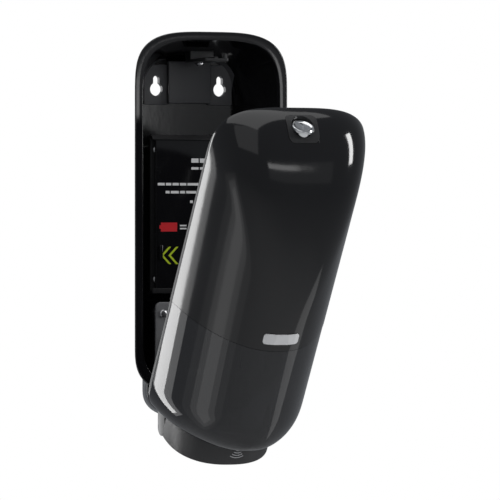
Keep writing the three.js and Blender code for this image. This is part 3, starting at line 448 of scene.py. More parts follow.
lip_inset, lip_thick, lip_front, lip_side = 0.0049, 0.0018, housing_low.y, 0.045
lip_low, lip_high = body_top - 0.247, body_top - 0.016
notch_low, notch_high = body_top - 0.160, body_top - 0.150
keyhole_x, key_head_z, key_slot_z = 0.0243, body_top - 0.0395, body_top - 0.0323
key_head, key_slot = 0.00475, 0.0024
pad_half, pad_low, pad_high, pad_front = 0.0162, body_top - 0.0495, body_top - 0.0195, -0.0075
plate_half, plate_low, plate_high, plate_front = 0.0095, body_top - 0.0505, body_top - 0.022, -0.004
floor_in = -0.0012
hinge = next(j for j in frame["record"]["behaviour"]["joints"] if j["name"] == "cover_hinge")
hinge_at = Vector(hinge["pos_m"])
arm_in, arm_out, arm_slack, pin_bore = 0.021, 0.025, 0.0006, 0.00255
boss_x, boss_heights = 0.036, (body_top - 0.174, body_top - 0.083)
hinge_half, hinge_round, hinge_top = 0.030, 0.0065, 0.013

tray_form = mesh_through("tray_form", outside + [tray_ring(0, 0)])
tray_tools = []
# The neck narrows towards the wall like the tray above it.
neck_mesh = rounded_prism(neck_outline, -0.028, 0.0279, "y", 0.0012)
for vertex in neck_mesh.vertices:
    vertex.co.x *= 1 - 0.183 * (vertex.co.y + 0.028) / 0.028
tray_tools.append(("UNION", neck_mesh))
# The hinge barrel under the neck, with its cheeks either side of the two arm slots.
barrel_side = arc(hinge_at.y, hinge_at.z, hinge_round, range(180, 361, 9))
barrel_side += [(hinge_at.y + way * hinge_round, hinge_at.z + hinge_top) for way in (1, -1)]
tray_tools.append(("UNION", rounded_prism(barrel_side, -hinge_half, 2 * hinge_half, "x", 0.0005)))
# The neck's block would fill the tray's foot, so the tray's hollow is cut again through it.
foot_hollow = [tray_ring(share, tray_wall) for share in inside_shares]
tray_tools.append(("DIFFERENCE", mesh_through("foot", foot_hollow)))
lip_root = rim_y + 0.0015


def lip_ring(inset, y):
    return [Vector((p.x, y, p.z)) for p in tray_ring(0, inset)]


lip_roll = 0.0004
lip_outer = [lip_ring(lip_inset + lip_roll * (1 - sin(radians(a))),
                      lip_front + lip_roll * (1 - cos(radians(a)))) for a in (0, 30, 60, 90)]
lip_band = mesh_through("lips", lip_outer + [lip_ring(lip_inset, lip_root)])
lip_hollow = mesh_through("lips", [lip_ring(lip_inset + lip_thick - lip_roll, lip_front - 0.001),
                                   lip_ring(lip_inset + lip_thick - lip_roll, lip_front),
                                   lip_ring(lip_inset + lip_thick, lip_front + lip_roll),
                                   lip_ring(lip_inset + lip_thick, lip_root + 0.001)])
lip_gaps = [rounded_box((-lip_side, -0.1, -0.3), (lip_side, 0, 0.3), 0)]
for low, high in ((-0.3, lip_low), (notch_low, notch_high), (lip_high, 0.3)):
    lip_gaps.append(rounded_box((-0.1, -0.1, low), (0.1, 0, high), 0))
lips = carve(lip_band, [("DIFFERENCE", tool) for tool in [lip_hollow, *lip_gaps]])
tray_tools.append(("UNION", lips))
for side in (-1, 1):
    x = side * keyhole_x
    plate = rounded_plate((x - plate_half, x + plate_half), (plate_low, plate_high), 0.0012)
    plate = rounded_prism(plate, plate_front, floor_in - plate_front, "y", 0.0004)
    tray_tools.append(("UNION", carve(plate, [("INTERSECT", tray_form)])))
    lean = math.degrees(math.asin(key_slot / key_head))
    keyhole = arc(x, key_slot_z, key_slot, range(0, 181, 15))
    keyhole += arc(x, key_head_z, key_head, [90 + lean + (360 - 2 * lean) * i / 40 for i in range(41)])
    tray_tools.append(("DIFFERENCE", rounded_prism(keyhole, -0.02, 0.04, "y", 0)))
    arm_box = sorted((side * (arm_in - arm_slack), side * (arm_out + arm_slack)))
    tray_tools.append(cut_box((arm_box[0], rim_y - 0.001, hinge_at.z - 0.0075),
                              (arm_box[1], -0.0195, body_bottom - 0.001)))
pad = rounded_plate((-pad_half, pad_half), (pad_low, pad_high), 0.001)
tray_tools.append(("UNION", rounded_prism(pad, pad_front, floor_in - pad_front, "y", 0.0006)))
for side in (-1, 1):
    for z in boss_heights:
        boss = rounded_prism(circle(side * boss_x, z, 0.0036), -0.0304, 0.0292, "y", 0.0004)
        tray_tools.append(("UNION", carve(boss, [("INTERSECT", tray_form)])))
    hole = sorted((side * (arm_in - 0.005), side * (arm_out + 0.004)))
    tray_tools.append(bore(hinge_at.y, hinge_at.z, pin_bore, hole[0], hole[1] - hole[0], "x", 40))
# The raised pad and the keyhole plates carry a painted reflection: their front faces are coloured a satin
# grey in place of the gloss black; the tray round them is polished.
painted_reflection_grey, painted_reflection_rough = (0.085, 0.085, 0.09), 0.4
housing_gloss, housing_tree, _ = worn("housing_gloss", deep_black, polish, grain=(260, 0.012), dust=0.012,
                                      drift=0.5)
housing_wear = next(node for node in housing_tree.nodes if node.type == "GROUP")
reflection_place = add_node(housing_tree, "ShaderNodeTexCoord")
at, facing = (add_node(housing_tree, "ShaderNodeSeparateXYZ", feeds={"Vector": reflection_place.outputs[name]})
              for name in ("Object", "Normal"))
# Mask of the front-facing faces inside the box of the pad and plates, where the painted reflection goes.
painted_reflection_mask = add_node(housing_tree, "ShaderNodeMath", {1: -0.05}, {0: facing.outputs["Y"]},
                  operation="LESS_THAN")
for axis, centre, reach in (("X", 0, 0.0342), ("Y", -0.0056, 0.0022), ("Z", body_top - 0.035, 0.017)):
    within = add_node(housing_tree, "ShaderNodeMath", {1: centre, 2: reach}, {0: at.outputs[axis]},
                      operation="COMPARE")
    painted_reflection_mask = add_node(housing_tree, "ShaderNodeMath", feeds={0: painted_reflection_mask.outputs[0], 1: within.outputs[0]},
                      operation="MULTIPLY")
# The masked faces get the grey colour and higher roughness of the painted reflection.
for socket_name, plain, reflection_value, kind in (("Colour", (*deep_black, 1), (*painted_reflection_grey, 1), "RGBA"),
                                          ("Roughness", polish, painted_reflection_rough, "FLOAT")):
    choice = add_node(housing_tree, "ShaderNodeMix", data_type=kind, values={"A": plain, "B": reflection_value},
                      feeds={"Factor": painted_reflection_mask.outputs[0]})
    housing_tree.links.new(choice.outputs["Result"], housing_wear.inputs[socket_name])
fit("rear_housing_gloss", carve(tray_mesh, tray_tools), housing_gloss, 32,
    "housing", "gloss_black", "rear_housing")


# ---------------------------------------------------------------------------------------------
# Cover. A deep domed shell in gloss black whose lower third is a smoked window of the same form,
# moulded closed and then swung forward on its hinge until it rests on the stop.
open_turn = radians(-hinge["range_deg"][0])
swing = Matrix.Translation(hinge_at) @ Matrix.Rotation(open_turn, 4, "X") @ Matrix.Translation(-hinge_at)
cover_gap, cover_depth = 0.0004, 0.066
cover_reach = cover_depth - cover_gap
top_fall, foot_rise, nearly_flat = 0.140, 0.022, 0.99999
cover_wall = 0.0022
window_top = body_top - 0.156
cover_steps = 64


def closing(share, power):
    return max(1 - share ** power, 0) ** (1 / power)


def cover_ring(depth, reach, inset):
    share = min(max(depth, 0) / reach, 1)
    return body_ring((half_width - inset) * closing(share, 2.3) * (1 - 0.26 * share),
                     body_top - inset - top_fall * (1 - closing(share, 2)),
                     body_bottom + inset + foot_rise * (1 - closing(share, 2)),
                     rim_y - cover_gap - depth)


def cover_rings(inset, first=0.0):
    """Rings of the cover's form from its rim to just short of its flat front, closed by the last."""
    reach = cover_reach - inset
    shares = [sin(i / cover_steps * math.pi / 2) ** 0.8 for i in range(cover_steps)]
    return [cover_ring(max(reach * share, first), reach, inset) for share in [*shares, nearly_flat]]


def cover_blank(inset_out, inset_in, rim_edge=0.0007):
    """The whole shell: outer skin, rolled rim, inner skin."""
    outer = list(reversed(cover_rings(inset_out, rim_edge)))
    roll = []
    for i in range(1, 5):
        angle = radians(90 * i / 4)
        inset = inset_out + rim_edge * (1 - cos(angle))
        step_back = Vector((0, rim_edge * sin(angle), 0))
        roll.append([p + step_back for p in cover_ring(rim_edge, cover_reach, inset)])
    inner = cover_rings(inset_in, 0.0002)
    return mesh_through("cover_blank", outer + roll + inner)


collar_half, collar_reach, collar_power = 0.0385, 0.038, 2.4
collar_quarter = superellipse(collar_power, 28)


def collar_plan(inset, back=0.002):
    """The sensor collar's outline in plan: straight behind, rounded in front."""
    half, reach = collar_half - inset, collar_reach - inset
    plan = [(half, rim_y + back), (-half, rim_y + back)]
    plan += [(-u * half, rim_y - v * reach) for u, v in collar_quarter]
    plan += [(u * half, rim_y - v * reach) for u, v in reversed(collar_quarter[:-1])]
    return plan


insert_half, insert_depth, insert_round = 0.0115, 0.009, 0.004
insert_y = -0.066


def insert_plan(grow):
    half, depth = insert_half + grow, insert_depth + grow
    return rounded_plate((-half, half), (insert_y - depth, insert_y + depth), insert_round + grow)


big = 0.4
seam = 0.0002
above = rounded_box((-big, -big, window_top + seam), (big, big, big), 0)
below = rounded_box((-big, -big, -big), (big, big, window_top - seam), 0)
lock_hole = rounded_prism(insert_plan(0.0002), body_top - 0.03, 0.05, "z", 0)
mouth = rounded_prism(collar_plan(-0.0004), body_top - 0.298, 0.073, "z", 0)


def swung(mesh):
    mesh.transform(swing)
    return mesh


shell_mesh = carve(cover_blank(0, cover_wall), [("INTERSECT", above), ("DIFFERENCE", lock_hole)])
fit("cover_shell_gloss", swung(shell_mesh), gloss_black, 32, "cover", "gloss_black", "cover_shell")

smoke_glass, _, smoke_shader = worn("smoked_window", (0.03, 0.031, 0.035), 0.03,
                                    grain=(120, 0.0), dust=0.0, drift=0.1)
smoke_shader.inputs["Transmission Weight"].default_value = 0.55
smoke_shader.inputs["IOR"].default_value = 1.49
window_mesh = carve(cover_blank(0.00025, cover_wall), [("INTERSECT", below), ("DIFFERENCE", mouth)])
fit("cover_window_smoked", swung(window_mesh), smoke_glass, 32, "cover", "smoked_window", "cover_window")

# ---------------------------------------------------------------------------------------------
# Sensor collar. A satin skirt under the cover, open behind, that reads the hand below the nozzle;
# two arms run back from it to the hinge pins and a pale wave mark is printed on its front.
collar_low, collar_high = body_top - 0.2705, body_top - 0.245
collar_wall = 0.0022
arm_top, arm_bottom, web_back = body_top - 0.2648, body_top - 0.2693, rim_y - 0.0029
collar_tools = [("DIFFERENCE", rounded_prism(collar_plan(collar_wall), collar_low - 0.001, 0.0285, "z", 0)),
                cut_box((-0.06, rim_y - 0.0004, -0.3), (0.06, 0.01, 0.3))]
for side in (-1, 1):
    arm_x = sorted((side * arm_in, side * arm_out))
    web_x = sorted((side * arm_in, side * (collar_half - 0.0006)))
    arm_side = [(hinge_at.y, hinge_at.z - 0.0059), (hinge_at.y, hinge_at.z + 0.0059),
                (web_back, arm_top), (web_back, arm_bottom)]
    collar_tools.append(("UNION", rounded_prism(arm_side, arm_x[0], arm_x[1] - arm_x[0], "x", 0.0003)))
    collar_tools.append(add_box((web_x[0], web_back, arm_bottom),
                                (web_x[1], rim_y - 0.0007, arm_top), 0.0003))
    knuckle = circle(hinge_at.y, hinge_at.z, 0.00595, 48)
    collar_tools.append(("UNION", rounded_prism(knuckle, arm_x[0], arm_x[1] - arm_x[0], "x", 0.0003)))
    eye = circle(hinge_at.y, hinge_at.z, pin_bore, 32)
    collar_tools.append(("DIFFERENCE", rounded_prism(eye, arm_x[0] - 0.001, 0.006, "x", 0)))
collar_mesh = carve(rounded_prism(collar_plan(0.0001), collar_low, collar_high - collar_low, "z", 0.0009),
                    collar_tools)
fit("sensor_collar_satin", swung(collar_mesh), satin_black, 32, "cover", "satin_black", "sensor_collar")


def print_mesh(name, shapes, surface):
    """Flat print: each shape is (colour, [(x, z), ...]), laid at surface(x) and facing the room."""
    build = bmesh.new()
    ink = build.loops.layers.float_color.new("ink")
    for colour, outline in shapes:
        face = build.faces.new([build.verts.new((x, surface(x), z)) for x, z in outline])
        face.normal_update()
        if face.normal.y > 0:
            face.normal_flip()
        for loop in face.loops:
            loop[ink] = (*colour, 1)
    return mesh_from(build, name)


def arc_band(x, z, radius, width, first, last, steps=14):
    """An arc of print as a row of small four-sided shapes."""
    spans = []
    for i in range(steps):
        corners = []
        for at, reach in ((i, radius), (i + 1, radius), (i + 1, radius + width), (i, radius + width)):
            angle = radians(first + (last - first) * at / steps)
            corners.append((x + reach * cos(angle), z + reach * sin(angle)))
        spans.append(corners)
    return spans


printed_ink, ink_tree, _ = worn("printed_ink", (0.8, 0.8, 0.8), 0.42, grain=(3000, 0.02), dust=0.05)
ink_read = add_node(ink_tree, "ShaderNodeAttribute", attribute_name="ink")
ink_wear = next(node for node in ink_tree.nodes if node.type == "GROUP")
ink_tree.links.new(ink_read.outputs["Color"], ink_wear.inputs["Colour"])


def collar_front(x):
    return rim_y - collar_reach * (1 - (abs(x) / collar_half) ** collar_power) ** (1 / collar_power)


mark_x, mark_z, mark_grey = 0.0035, body_top - 0.2552, (0.5, 0.5, 0.51)
wave_shapes = [(mark_grey, circle(mark_x, mark_z, 0.0009, 16))]
for wave in (0.0026, 0.0046, 0.0066, 0.0086):
    wave_shapes += [(mark_grey, span) for span in arc_band(mark_x, mark_z, wave, 0.0006, -124, -56)]
fit("collar_wave_mark", swung(print_mesh("wave", wave_shapes, collar_front)), printed_ink, 35,
    "cover", "badge_white")

badge_white, _, _ = worn("badge_white", (0.86, 0.86, 0.86), 0.3, grain=(900, 0.02), dust=0.02)
dress(["cover_badge"], badge_white)


# ---------------------------------------------------------------------------------------------
# Lock. A satin insert let into the top of the cover, a chrome barrel that stands a little proud
# of it with a straight keyway, and a steel cam below that turns behind the striker's post.
steel, _, _ = worn("plain_steel", (0.55, 0.55, 0.56), 0.28, 1.0, grain=(2200, 0.05), dust=0.03)
chrome, _, _ = worn("chrome_plate", (0.78, 0.79, 0.8), 0.12, 1.0, grain=(500, 0.005), dust=0.01, drift=0.2)


def lathe(profile, at, along="z", steps=48):
    """A profile of (radius, distance) turned about an axis through a point."""
    build = bmesh.new()
    turn = axis_turns[along]
    rows = []
    for radius, distance in profile:
        if radius == 0:
            rows.append([build.verts.new(Vector(turn(0, 0, distance)) + Vector(at))])
        else:
            rows.append([build.verts.new(Vector(turn(x, z, distance)) + Vector(at))
                         for x, z in circle(0, 0, radius, steps)])
    for row, after in zip(rows, rows[1:]):
        for i in range(steps):
            j = (i + 1) % steps
            corners = [row[i % len(row)], row[j % len(row)], after[j % len(after)], after[i % len(after)]]
            build.faces.new(list(dict.fromkeys(corners)))
    bmesh.ops.recalc_face_normals(build, faces=build.faces)
    return mesh_from(build, "turned")


insert_low = body_top - 0.0148
lock_surface = body_top - top_fall * (1 - closing((rim_y - insert_y) / cover_depth, 2))
cover_form = mesh_through("cover_form", cover_rings(-0.0003))
insert_mesh = carve(rounded_prism(insert_plan(0), insert_low, 0.02, "z", 0),
                    [("INTERSECT", cover_form),
                     bore(0, insert_y, 0.0082, lock_surface - 0.0009, 0.02, "z", 56),
                     bore(0, insert_y, 0.0066, insert_low - 0.001, 0.03, "z", 56)])
fit("lock_insert_satin", swung(insert_mesh), satin_black, 30, "cover", "satin_black", "lock_insert")

barrel_low, barrel_top, barrel_radius = body_top - 0.0153, lock_surface + 0.0014, 0.0062
flange_radius, flange_low = 0.008, lock_surface - 0.0007
barrel_profile = [(0, barrel_low), (barrel_radius, barrel_low), (barrel_radius, flange_low),
                  (flange_radius, flange_low), (flange_radius, barrel_top - 0.0009),
                  (flange_radius - 0.0002, barrel_top - 0.0004), (flange_radius - 0.0007, barrel_top),
                  (flange_radius - 0.0016, barrel_top), (flange_radius - 0.0023, barrel_top - 0.0005),
                  (flange_radius - 0.003, barrel_top - 0.0007), (0, barrel_top - 0.0007)]
keyway = cut_box((-0.0007, insert_y - 0.0032, barrel_top - 0.0028),
                 (0.0007, insert_y + 0.0032, barrel_top + 0.001))
barrel_mesh = carve(lathe(barrel_profile, (0, insert_y, 0), "z", 64), [keyway])
fit("lock_barrel_chrome", swung(barrel_mesh), chrome, 30, "lock", "chrome_lock", "lock_barrel")

cam_top = body_top - 0.0156
cam_plan = [(0.004, -0.004), (0.004, 0.0036), (-0.0126, 0.0036), (-0.0126, 0.0095), (-0.016, 0.0095),
            (-0.016, -0.004)]
cam_mesh = rounded_prism([(x, y + insert_y) for x, y in cam_plan], cam_top - 0.0018, 0.0018, "z", 0.0003)
fit("lock_cam_steel", swung(cam_mesh), steel, 30, "lock", "steel", "lock_cam")


# ---------------------------------------------------------------------------------------------
# Latch striker. A satin bracket screwed under the ceiling of the tray; its bar runs forward over
# the rim and ends in the upright post that the cam hooks.
bar_low = body_top - 0.021
striker_plan = rounded_plate((-0.009, 0.009), (-0.058, -0.020), 0.0015)
striker_mesh = carve(
    rounded_prism(striker_plan, bar_low, 0.002, "z", 0.0003),
    [add_box((-0.009, -0.030, bar_low + 0.0002), (0.009, -0.020, bar_low + 0.0084), 0.0006),
     add_box((0.0052, -0.058, bar_low + 0.0002), (0.0072, -0.056, bar_low + 0.0056), 0.0003),
     add_box((-0.0014, -0.056, bar_low + 0.001), (0.0014, -0.029, bar_low + 0.0032), 0.0004),
     bore(0, -0.025, 0.0019, bar_low - 0.001, 0.012, "z", 32)])
fit("latch_striker_satin", striker_mesh, satin_black, 30, "housing", "satin_black", "latch_striker")
striker_profile = [(0, bar_low + 0.0082), (0.0015, bar_low + 0.0082), (0.0015, bar_low - 0.0003),
                   (0.003, bar_low - 0.0004), (0.003, bar_low - 0.0014), (0.0022, bar_low - 0.0022),
                   (0.0012, bar_low - 0.0024), (0.001, bar_low - 0.0012), (0, bar_low - 0.0012)]
fit("striker_screw_steel", lathe(striker_profile, (0, -0.025, 0), "z", 36), steel, 30,
    "housing", "steel", "striker_screw")


# ---------------------------------------------------------------------------------------------
# Battery box. A satin tub for four C cells behind a flange with rails above and below; the gloss
# door slides to the left between them and carries the refill notice in plain printed marks.
box_low, box_high = body_top - 0.184, body_top - 0.0725
box_half, flange_half, box_back, box_front, rail_front = 0.0296, 0.041, -0.005, -0.034, -0.0384
box_tools = [add_box((-flange_half, box_front, box_low),
                     (flange_half, box_front + 0.003, box_high), 0.0004),
             cut_box((-box_half + 0.002, box_front - 0.001, box_low + 0.002),
                     (box_half - 0.002, box_back - 0.002, box_high - 0.002))]
rail_lip, rail_root = rail_front + 0.0012, -0.033
low_rail = [(rail_root, box_low), (rail_front, box_low), (rail_front, box_low + 0.0036),
            (rail_lip, box_low + 0.0036), (rail_lip, box_low + 0.002), (rail_root, box_low + 0.002)]
high_rail = [(rail_root, box_high), (-0.0352, box_high), (rail_front, box_high - 0.0028),
             (rail_front, box_high - 0.0036), (rail_lip, box_high - 0.0036), (rail_lip, box_high - 0.002),
             (rail_root, box_high - 0.002)]
for rail in (low_rail, high_rail):
    box_tools.append(("UNION", rounded_prism(rail, -flange_half, 2 * flange_half, "x", 0.0002)))
box_screws = [(x, z) for z in boss_heights for x in (-boss_x, boss_x)]
for x, z in box_screws:
    box_tools.append(bore(x, z, 0.00165, -0.04, 0.012))
    box_tools.append(bore(x, z, 0.003, -0.04, 0.008, "y", 32))
tub = rounded_box((-box_half, box_front, box_low), (box_half, box_back, box_high), 0.0008)
fit("battery_box_satin", carve(tub, box_tools), satin_black, 30, "housing", "satin_black", "battery_box")

door_front, door_back, door_half = -0.0368, -0.0344, 0.038
door_outline = rounded_plate((-door_half, door_half), (box_low + 0.0024, box_high - 0.0024), 0.002)
grip = rounded_box((-0.035, -0.0382, notch_low), (-0.033, door_back - 0.001, notch_high), 0.0005)
door_slab = rounded_prism(door_outline, door_front, door_back - door_front, "y", 0.0003)
fit("battery_door_gloss", carve(door_slab, [("UNION", grip)]), gloss_black, 30,
    "door", "gloss_black", "battery_door")

white_ink, red_ink, green_ink = (0.78, 0.78, 0.78), (0.62, 0.012, 0.02), (0.52, 0.66, 0.02)


def bar(colour, x, z):
    return colour, [(x[0], z[0]), (x[1], z[0]), (x[1], z[1]), (x[0], z[1])]


label = [bar(red_ink, (-0.0341, -0.0218), (body_top - 0.1405, body_top - 0.1342)),
         bar(red_ink, (-0.0352, -0.0341), (body_top - 0.1386, body_top - 0.1361))]
for z in (body_top - 0.1363, body_top - 0.1384):
    label.append(bar(white_ink, (-0.0197, -0.0146), (z - 0.0005, z + 0.0005)))
for tip in (-0.0340, -0.0285):
    middle, rise, run, stroke = body_top - 0.1573, 0.0061, 0.0058, 0.0019
    for way in (-1, 1):
        label.append((green_ink, [(tip, middle), (tip + run, middle + way * rise),
                                  (tip + run + stroke, middle + way * rise), (tip + stroke, middle)]))
for z, width in ((body_top - 0.0905, 0.0030), (body_top - 0.0960, 0.0017)):
    for x0, x1 in ((-0.011, -0.0055), (-0.0045, 0.0035), (0.0047, 0.0105)):
        label.append(bar(white_ink, (x0, x1), (z - width / 2, z + width / 2)))
# Each line of the notice: its drop from the top in metres, then where its dashes run in millimetres.
notice_lines = ((0.1072, (-36.5, -31.2), (-30.3, -26.2), (-25.3, -20.5), (-19.7, -14.8), (-13.9, -4),
                 (-3, 6)),
                (0.1128, (-30.5, -27.5), (-26.6, -20.5), (-19.6, -15.8), (-14.9, -7.2), (-6.2, 4)),
                (0.1195, (-12, -9.8), (-8.8, -2.2)))
for drop, *dashes in notice_lines:
    for start, end in dashes:
        span_z = (body_top - drop - 0.0009, body_top - drop + 0.0009)
        label.append(bar(white_ink, (start / 1000, end / 1000), span_z))
fit("door_label", print_mesh("label", label, lambda x: door_front - 0.00003), printed_ink, 35,
    "door", "badge_white")


# ---------------------------------------------------------------------------------------------
# Cells and contacts behind the door: steel cans in a dark wrap with a band and a bare crimp at
# each end, sprung below, bridged above.
cell_wrap, _, _ = worn("cell_wrap", (0.022, 0.023, 0.027), 0.3, 0.0, grain=(900, 0.02))
cell_radius = 0.0131
for index in range(4):
    low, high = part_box(f"battery_{index + 1}")
    middle = ((low.x + high.x) / 2, (low.y + high.y) / 2, 0)
    can = [(0, low.z), (0.009, low.z), (0.0095, low.z + 0.0003), (0.0124, low.z + 0.0003),
           (cell_radius, low.z + 0.0009), (cell_radius, high.z - 0.0022), (0.0126, high.z - 0.0015),
           (0.0115, high.z - 0.0013), (0.0034, high.z - 0.0013), (0.0028, high.z - 0.001),
           (0.0028, high.z - 0.0002), (0.0024, high.z), (0, high.z)]
    fit(f"cell_{index + 1}", lathe(can, middle, "z", 40), cell_wrap, 30,
        "housing", "cell_wrap", f"battery_{index + 1}")
dress(["contact_spring_left", "contact_spring_right", "contact_bridge"], steel)


# ---------------------------------------------------------------------------------------------
# Pump drive. A satin gear case low in the tray closed by a grey front plate; behind it a small
# motor turns two acetal gears that lift the white yoke by its rack.
grey_plastic, _, _ = worn("grey_abs", (0.17, 0.17, 0.175), 0.32, grain=(2400, 0.05), dust=0.02)
acetal, _, acetal_shader = worn("natural_acetal", (0.72, 0.71, 0.67), 0.4, grain=(1800, 0.03), dust=0.02)
acetal_shader.inputs["Subsurface Weight"].default_value = 0.15
acetal_shader.inputs["Subsurface Radius"].default_value = (0.001, 0.001, 0.0009)
case_half, case_back, case_front = 0.030, -0.009, -0.044
case_low, case_high, case_wall = body_top - 0.2425, body_top - 0.190, 0.002
drive_screws = [(x, z) for z in (body_top - 0.198, body_top - 0.232) for x in (-0.037, 0.037)]
case_tools = []
for x, z in drive_screws:
    lug = sorted((x, math.copysign(case_half - 0.001, x)))
    case_tools.append(("UNION", rounded_prism(circle(x, z, 0.004, 40), case_front, 0.008, "y", 0.0003)))
    case_tools.append(add_box((lug[0], case_front, z - 0.0039),
                              (lug[1], case_front + 0.0079, z + 0.0039), 0.0003))
case_tools.append(cut_box((-case_half + case_wall, case_front - 0.001, case_low + case_wall),
                          (case_half - case_wall, case_back - case_wall, case_high - case_wall)))
for x, z in drive_screws:
    case_tools.append(bore(x, z, 0.0017, case_front - 0.001, 0.007))
gear_box = rounded_box((-case_half, case_front, case_low), (case_half, case_back, case_high), 0.0008)
fit("drive_case_satin", carve(gear_box, case_tools), satin_black, 30,
    "housing", "satin_black", "drive_case")

plate_rear, plate_face, plate_low_z = -0.0444, -0.0476, body_top - 0.242
front_plate = rounded_prism(rounded_plate((-0.042, 0.042), (plate_low_z, case_high), 0.004), plate_face,
                            plate_rear - plate_face, "y", 0.0007)
groove_out = rounded_prism(rounded_plate((-0.0325, 0.0325), (body_top - 0.2365, body_top - 0.1935), 0.003),
                           plate_face - 0.001, 0.0014, "y", 0)
groove_in = rounded_prism(rounded_plate((-0.0315, 0.0315), (body_top - 0.2355, body_top - 0.1945), 0.002),
                          plate_face - 0.002, 0.004, "y", 0)
plate_tools = [("DIFFERENCE", carve(groove_out, [("DIFFERENCE", groove_in)])),
               cut_box((0.005, -0.06, body_top - 0.241), (0.013, -0.04, body_top - 0.227))]
for x, z in drive_screws:
    plate_tools.append(bore(x, z, 0.0017, -0.05, 0.008))
fit("drive_cover_grey", carve(front_plate, plate_tools), grey_plastic, 30,
    "housing", "grey_plastic", "drive_cover")
dress(["output_gear", "reduction_gear", "pump_yoke"], acetal)
dress(["motor_pinion", "pump_motor", "output_axle", "reduction_axle"], steel)
dress(["hinge_pin_left", "hinge_pin_right"], steel)


# ---------------------------------------------------------------------------------------------
# Refill seat. The cradle's fork holds the refill by its neck above the yoke, and the guide's
# tube leads the nozzle down past the two infrared eyes and their dark window.
nozzle_y = -0.068
cradle_low, cradle_high = body_top - 0.222, body_top - 0.218
fork = rounded_prism(rounded_plate((-0.027, 0.027), (-0.090, -0.048), 0.004), cradle_low,
                     cradle_high - cradle_low, "z", 0.0006)
fork_tools = []
for side in (-1, 1):
    rail_x = sorted((side * 0.027, side * 0.024))
    fork_tools.append(add_box((rail_x[0], -0.086, cradle_low + 0.001),
                              (rail_x[1], -0.048, cradle_high + 0.006), 0.0005))
fork_tools.append(bore(0, nozzle_y, 0.015, cradle_low - 0.001, 0.006, "z", 64))
fork_tools.append(cut_box((-0.015, -0.1, cradle_low - 0.001), (0.015, nozzle_y, cradle_high + 0.001)))
fit("refill_cradle_satin", carve(fork, fork_tools), satin_black, 30,
    "housing", "satin_black", "refill_cradle")

guide_back, guide_low = -0.0484, body_top - 0.264
guide_round = 0.015
guide_plan = [(-guide_round, guide_back), *arc(0, nozzle_y, guide_round, range(180, 361, 6)),
              (guide_round, guide_back)]
guide_face = guide_back - 0.003
guide_tube = rounded_prism(circle(0, nozzle_y, 0.0125, 56), guide_low + 0.001, 0.015, "z", 0.0006)
guide_tools = [("UNION", guide_tube),
               add_box((-0.027, guide_face, guide_low), (0.027, guide_back, body_top - 0.242), 0.0005)]
for side in (-1, 1):
    lug = sorted((side * 0.027, side * 0.022))
    guide_tools.append(add_box((lug[0], guide_face, guide_low),
                               (lug[1], guide_back, body_top - 0.228), 0.0005))
guide_tools.append(bore(0, nozzle_y, 0.010, guide_low - 0.001, 0.02, "z", 56))
guide_mesh = carve(rounded_prism(guide_plan, guide_low, 0.003, "z", 0.0004), guide_tools)
fit("nozzle_guide_satin", guide_mesh, satin_black, 30, "housing", "satin_black", "nozzle_guide")


# ---------------------------------------------------------------------------------------------
# Sensor and board. Two domed infrared eyes over a dark window, a green circuit board on edge in
# the gear case and a wrapped capacitor lying beside it.
infrared, _, _ = worn("infrared_pass", (0.035, 0.008, 0.02), 0.08, grain=(500, 0.005), dust=0.01)
for eye_node in ("ir_emitter", "ir_receiver"):
    low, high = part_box(eye_node)
    middle = ((low.x + high.x) / 2, (low.y + high.y) / 2, 0)
    dome = [(0, high.z), (0.0022, high.z), (0.0025, high.z - 0.0003), (0.0025, low.z + 0.0022)]
    dome += [(0.0023 * cos(radians(a)), low.z + 0.0022 * (1 - sin(radians(a))))
             for a in (0, 20, 40, 60, 78)]
    dome.append((0, low.z))
    fit(f"{eye_node}_dome", lathe(dome, middle, "z", 32), infrared, 30,
        "housing", "infrared_lens", eye_node)
window_low, window_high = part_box("sensor_window")
fit("sensor_window_lens", rounded_box(window_low, window_high, 0.0003), infrared, 30,
    "housing", "infrared_lens", "sensor_window")

board_green, board_tree, _ = worn("board_green", (0.012, 0.085, 0.035), 0.35, grain=(1500, 0.03))
track_place = add_node(board_tree, "ShaderNodeTexCoord")
track_turn = add_node(board_tree, "ShaderNodeMapping", {"Rotation": (0, radians(90), radians(90))},
                      {"Vector": track_place.outputs["Object"]})
tracks = add_node(board_tree, "ShaderNodeTexBrick", {
    "Scale": 260, "Mortar Size": 0.03, "Mortar": (0.30, 0.22, 0.08, 1),
    "Color1": (0.012, 0.085, 0.035, 1), "Color2": (0.010, 0.070, 0.030, 1)},
    {"Vector": track_turn.outputs["Vector"]})
board_wear = next(node for node in board_tree.nodes if node.type == "GROUP")
board_tree.links.new(tracks.outputs["Color"], board_wear.inputs["Colour"])
dress(["control_board"], board_green)
cap_low, cap_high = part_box("board_capacitor")
cap_middle = (0, (cap_low.y + cap_high.y) / 2, (cap_low.z + cap_high.z) / 2)
cap_profile = [(0, cap_low.x), (0.0030, cap_low.x), (0.0032, cap_low.x + 0.0002),
               (0.0032, cap_low.x + 0.0012), (0.0029, cap_low.x + 0.0015), (0.0032, cap_low.x + 0.0018),
               (0.0032, cap_high.x - 0.0003), (0.0029, cap_high.x), (0, cap_high.x)]
fit("board_capacitor_wrapped", lathe(cap_profile, cap_middle, "x", 36), cell_wrap, 30,
    "housing", "cell_wrap", "board_capacitor")


# ---------------------------------------------------------------------------------------------
# Screws. Eight pan-head steel screws with a cross recess, all alike: one is turned and cut, then
# set at each hole with its own small turn, four in the battery flange and four in the front plate.
head_radius, screw_length = 0.0026, 0.0085
pan = [(0, 0), (0.0012, 0), (0.0020, 0.0002), (0.0024, 0.0005), (head_radius, 0.001), (head_radius, 0.0013),
       (0.0024, 0.0015), (0.0013, 0.0016), (0.0013, screw_length - 0.001), (0.0006, screw_length),
       (0, screw_length)]
cross = [cut_box((-0.0015, -0.001, -0.0003), (0.0015, 0.0008, 0.0003)),
         cut_box((-0.0003, -0.001, -0.0015), (0.0003, 0.0008, 0.0015))]
pattern_screw = bpy.data.objects.new("pattern_screw", carve(lathe(pan, (0, 0, 0), "y", 36), cross))
scene.collection.objects.link(pattern_screw)


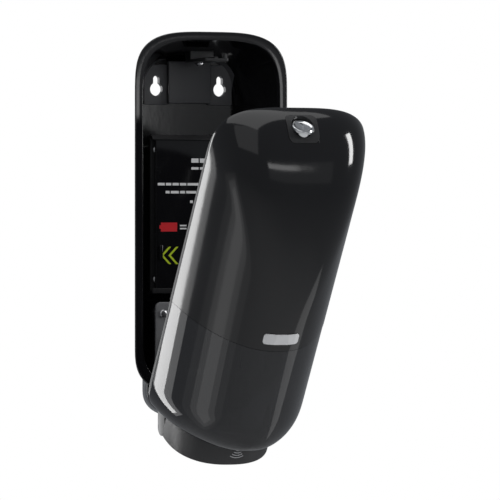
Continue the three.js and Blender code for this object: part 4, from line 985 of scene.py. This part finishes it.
def screw_setter():
    """Geometry group: one screw at every point, scaled and turned at random about its own length."""
    group, entry, result = new_group("screw_setter", "GeometryNodeTree", (
        ("Geometry", "INPUT", "Geometry"), ("Screw", "INPUT", "Object"), ("Size", "INPUT", "Float"),
        ("Seed", "INPUT", "Int"), ("Metal", "INPUT", "Material"), ("Geometry", "OUTPUT", "Geometry")))
    source = add_node(group, "GeometryNodeObjectInfo", feeds={"Object": entry["Screw"]})
    turn = add_node(group, "FunctionNodeRandomValue", data_type="FLOAT_VECTOR",
                    values={"Min": (0, 0, 0), "Max": (0, radians(90), 0)}, feeds={"Seed": entry["Seed"]})
    place = add_node(group, "GeometryNodeInstanceOnPoints", feeds={
        "Points": entry["Geometry"], "Instance": source.outputs["Geometry"],
        "Rotation": turn.outputs["Value"], "Scale": entry["Size"]})
    real = add_node(group, "GeometryNodeRealizeInstances", feeds={"Geometry": place.outputs["Instances"]})
    coat = add_node(group, "GeometryNodeSetMaterial", feeds={
        "Geometry": real.outputs["Geometry"], "Material": entry["Metal"]})
    group.links.new(coat.outputs["Geometry"], result["Geometry"])
    return group


screw_group = screw_setter()


def set_screws(name, spots, size, seed, nodes_replaced):
    points = bpy.data.meshes.new(name)
    points.from_pydata(spots, [], [])
    holder = bpy.data.objects.new(name, points)
    scene.collection.objects.link(holder)
    setter = holder.modifiers.new("set", "NODES")
    setter.node_group = screw_group
    values = {"Screw": pattern_screw, "Size": size, "Seed": seed, "Metal": steel}
    for item in screw_group.interface.items_tree:
        if item.item_type == "SOCKET" and item.in_out == "INPUT" and item.name in values:
            setter[item.identifier] = values[item.name]
    bpy.context.view_layer.update()
    made = bpy.data.meshes.new_from_object(holder.evaluated_get(bpy.context.evaluated_depsgraph_get()))
    bpy.data.objects.remove(holder)
    fit(name, made, steel, 30, "housing", "steel", *nodes_replaced)


set_screws("battery_box_screws", [(x, -0.0338, z) for x, z in box_screws], 1.0, 3,
           [f"battery_box_screw_{i}" for i in range(1, 5)])
set_screws("drive_screws", [(x, -0.0495, z) for x, z in drive_screws], 1.07, 8,
           [f"drive_screw_{i}" for i in range(1, 5)])
bpy.data.objects.remove(pattern_screw)
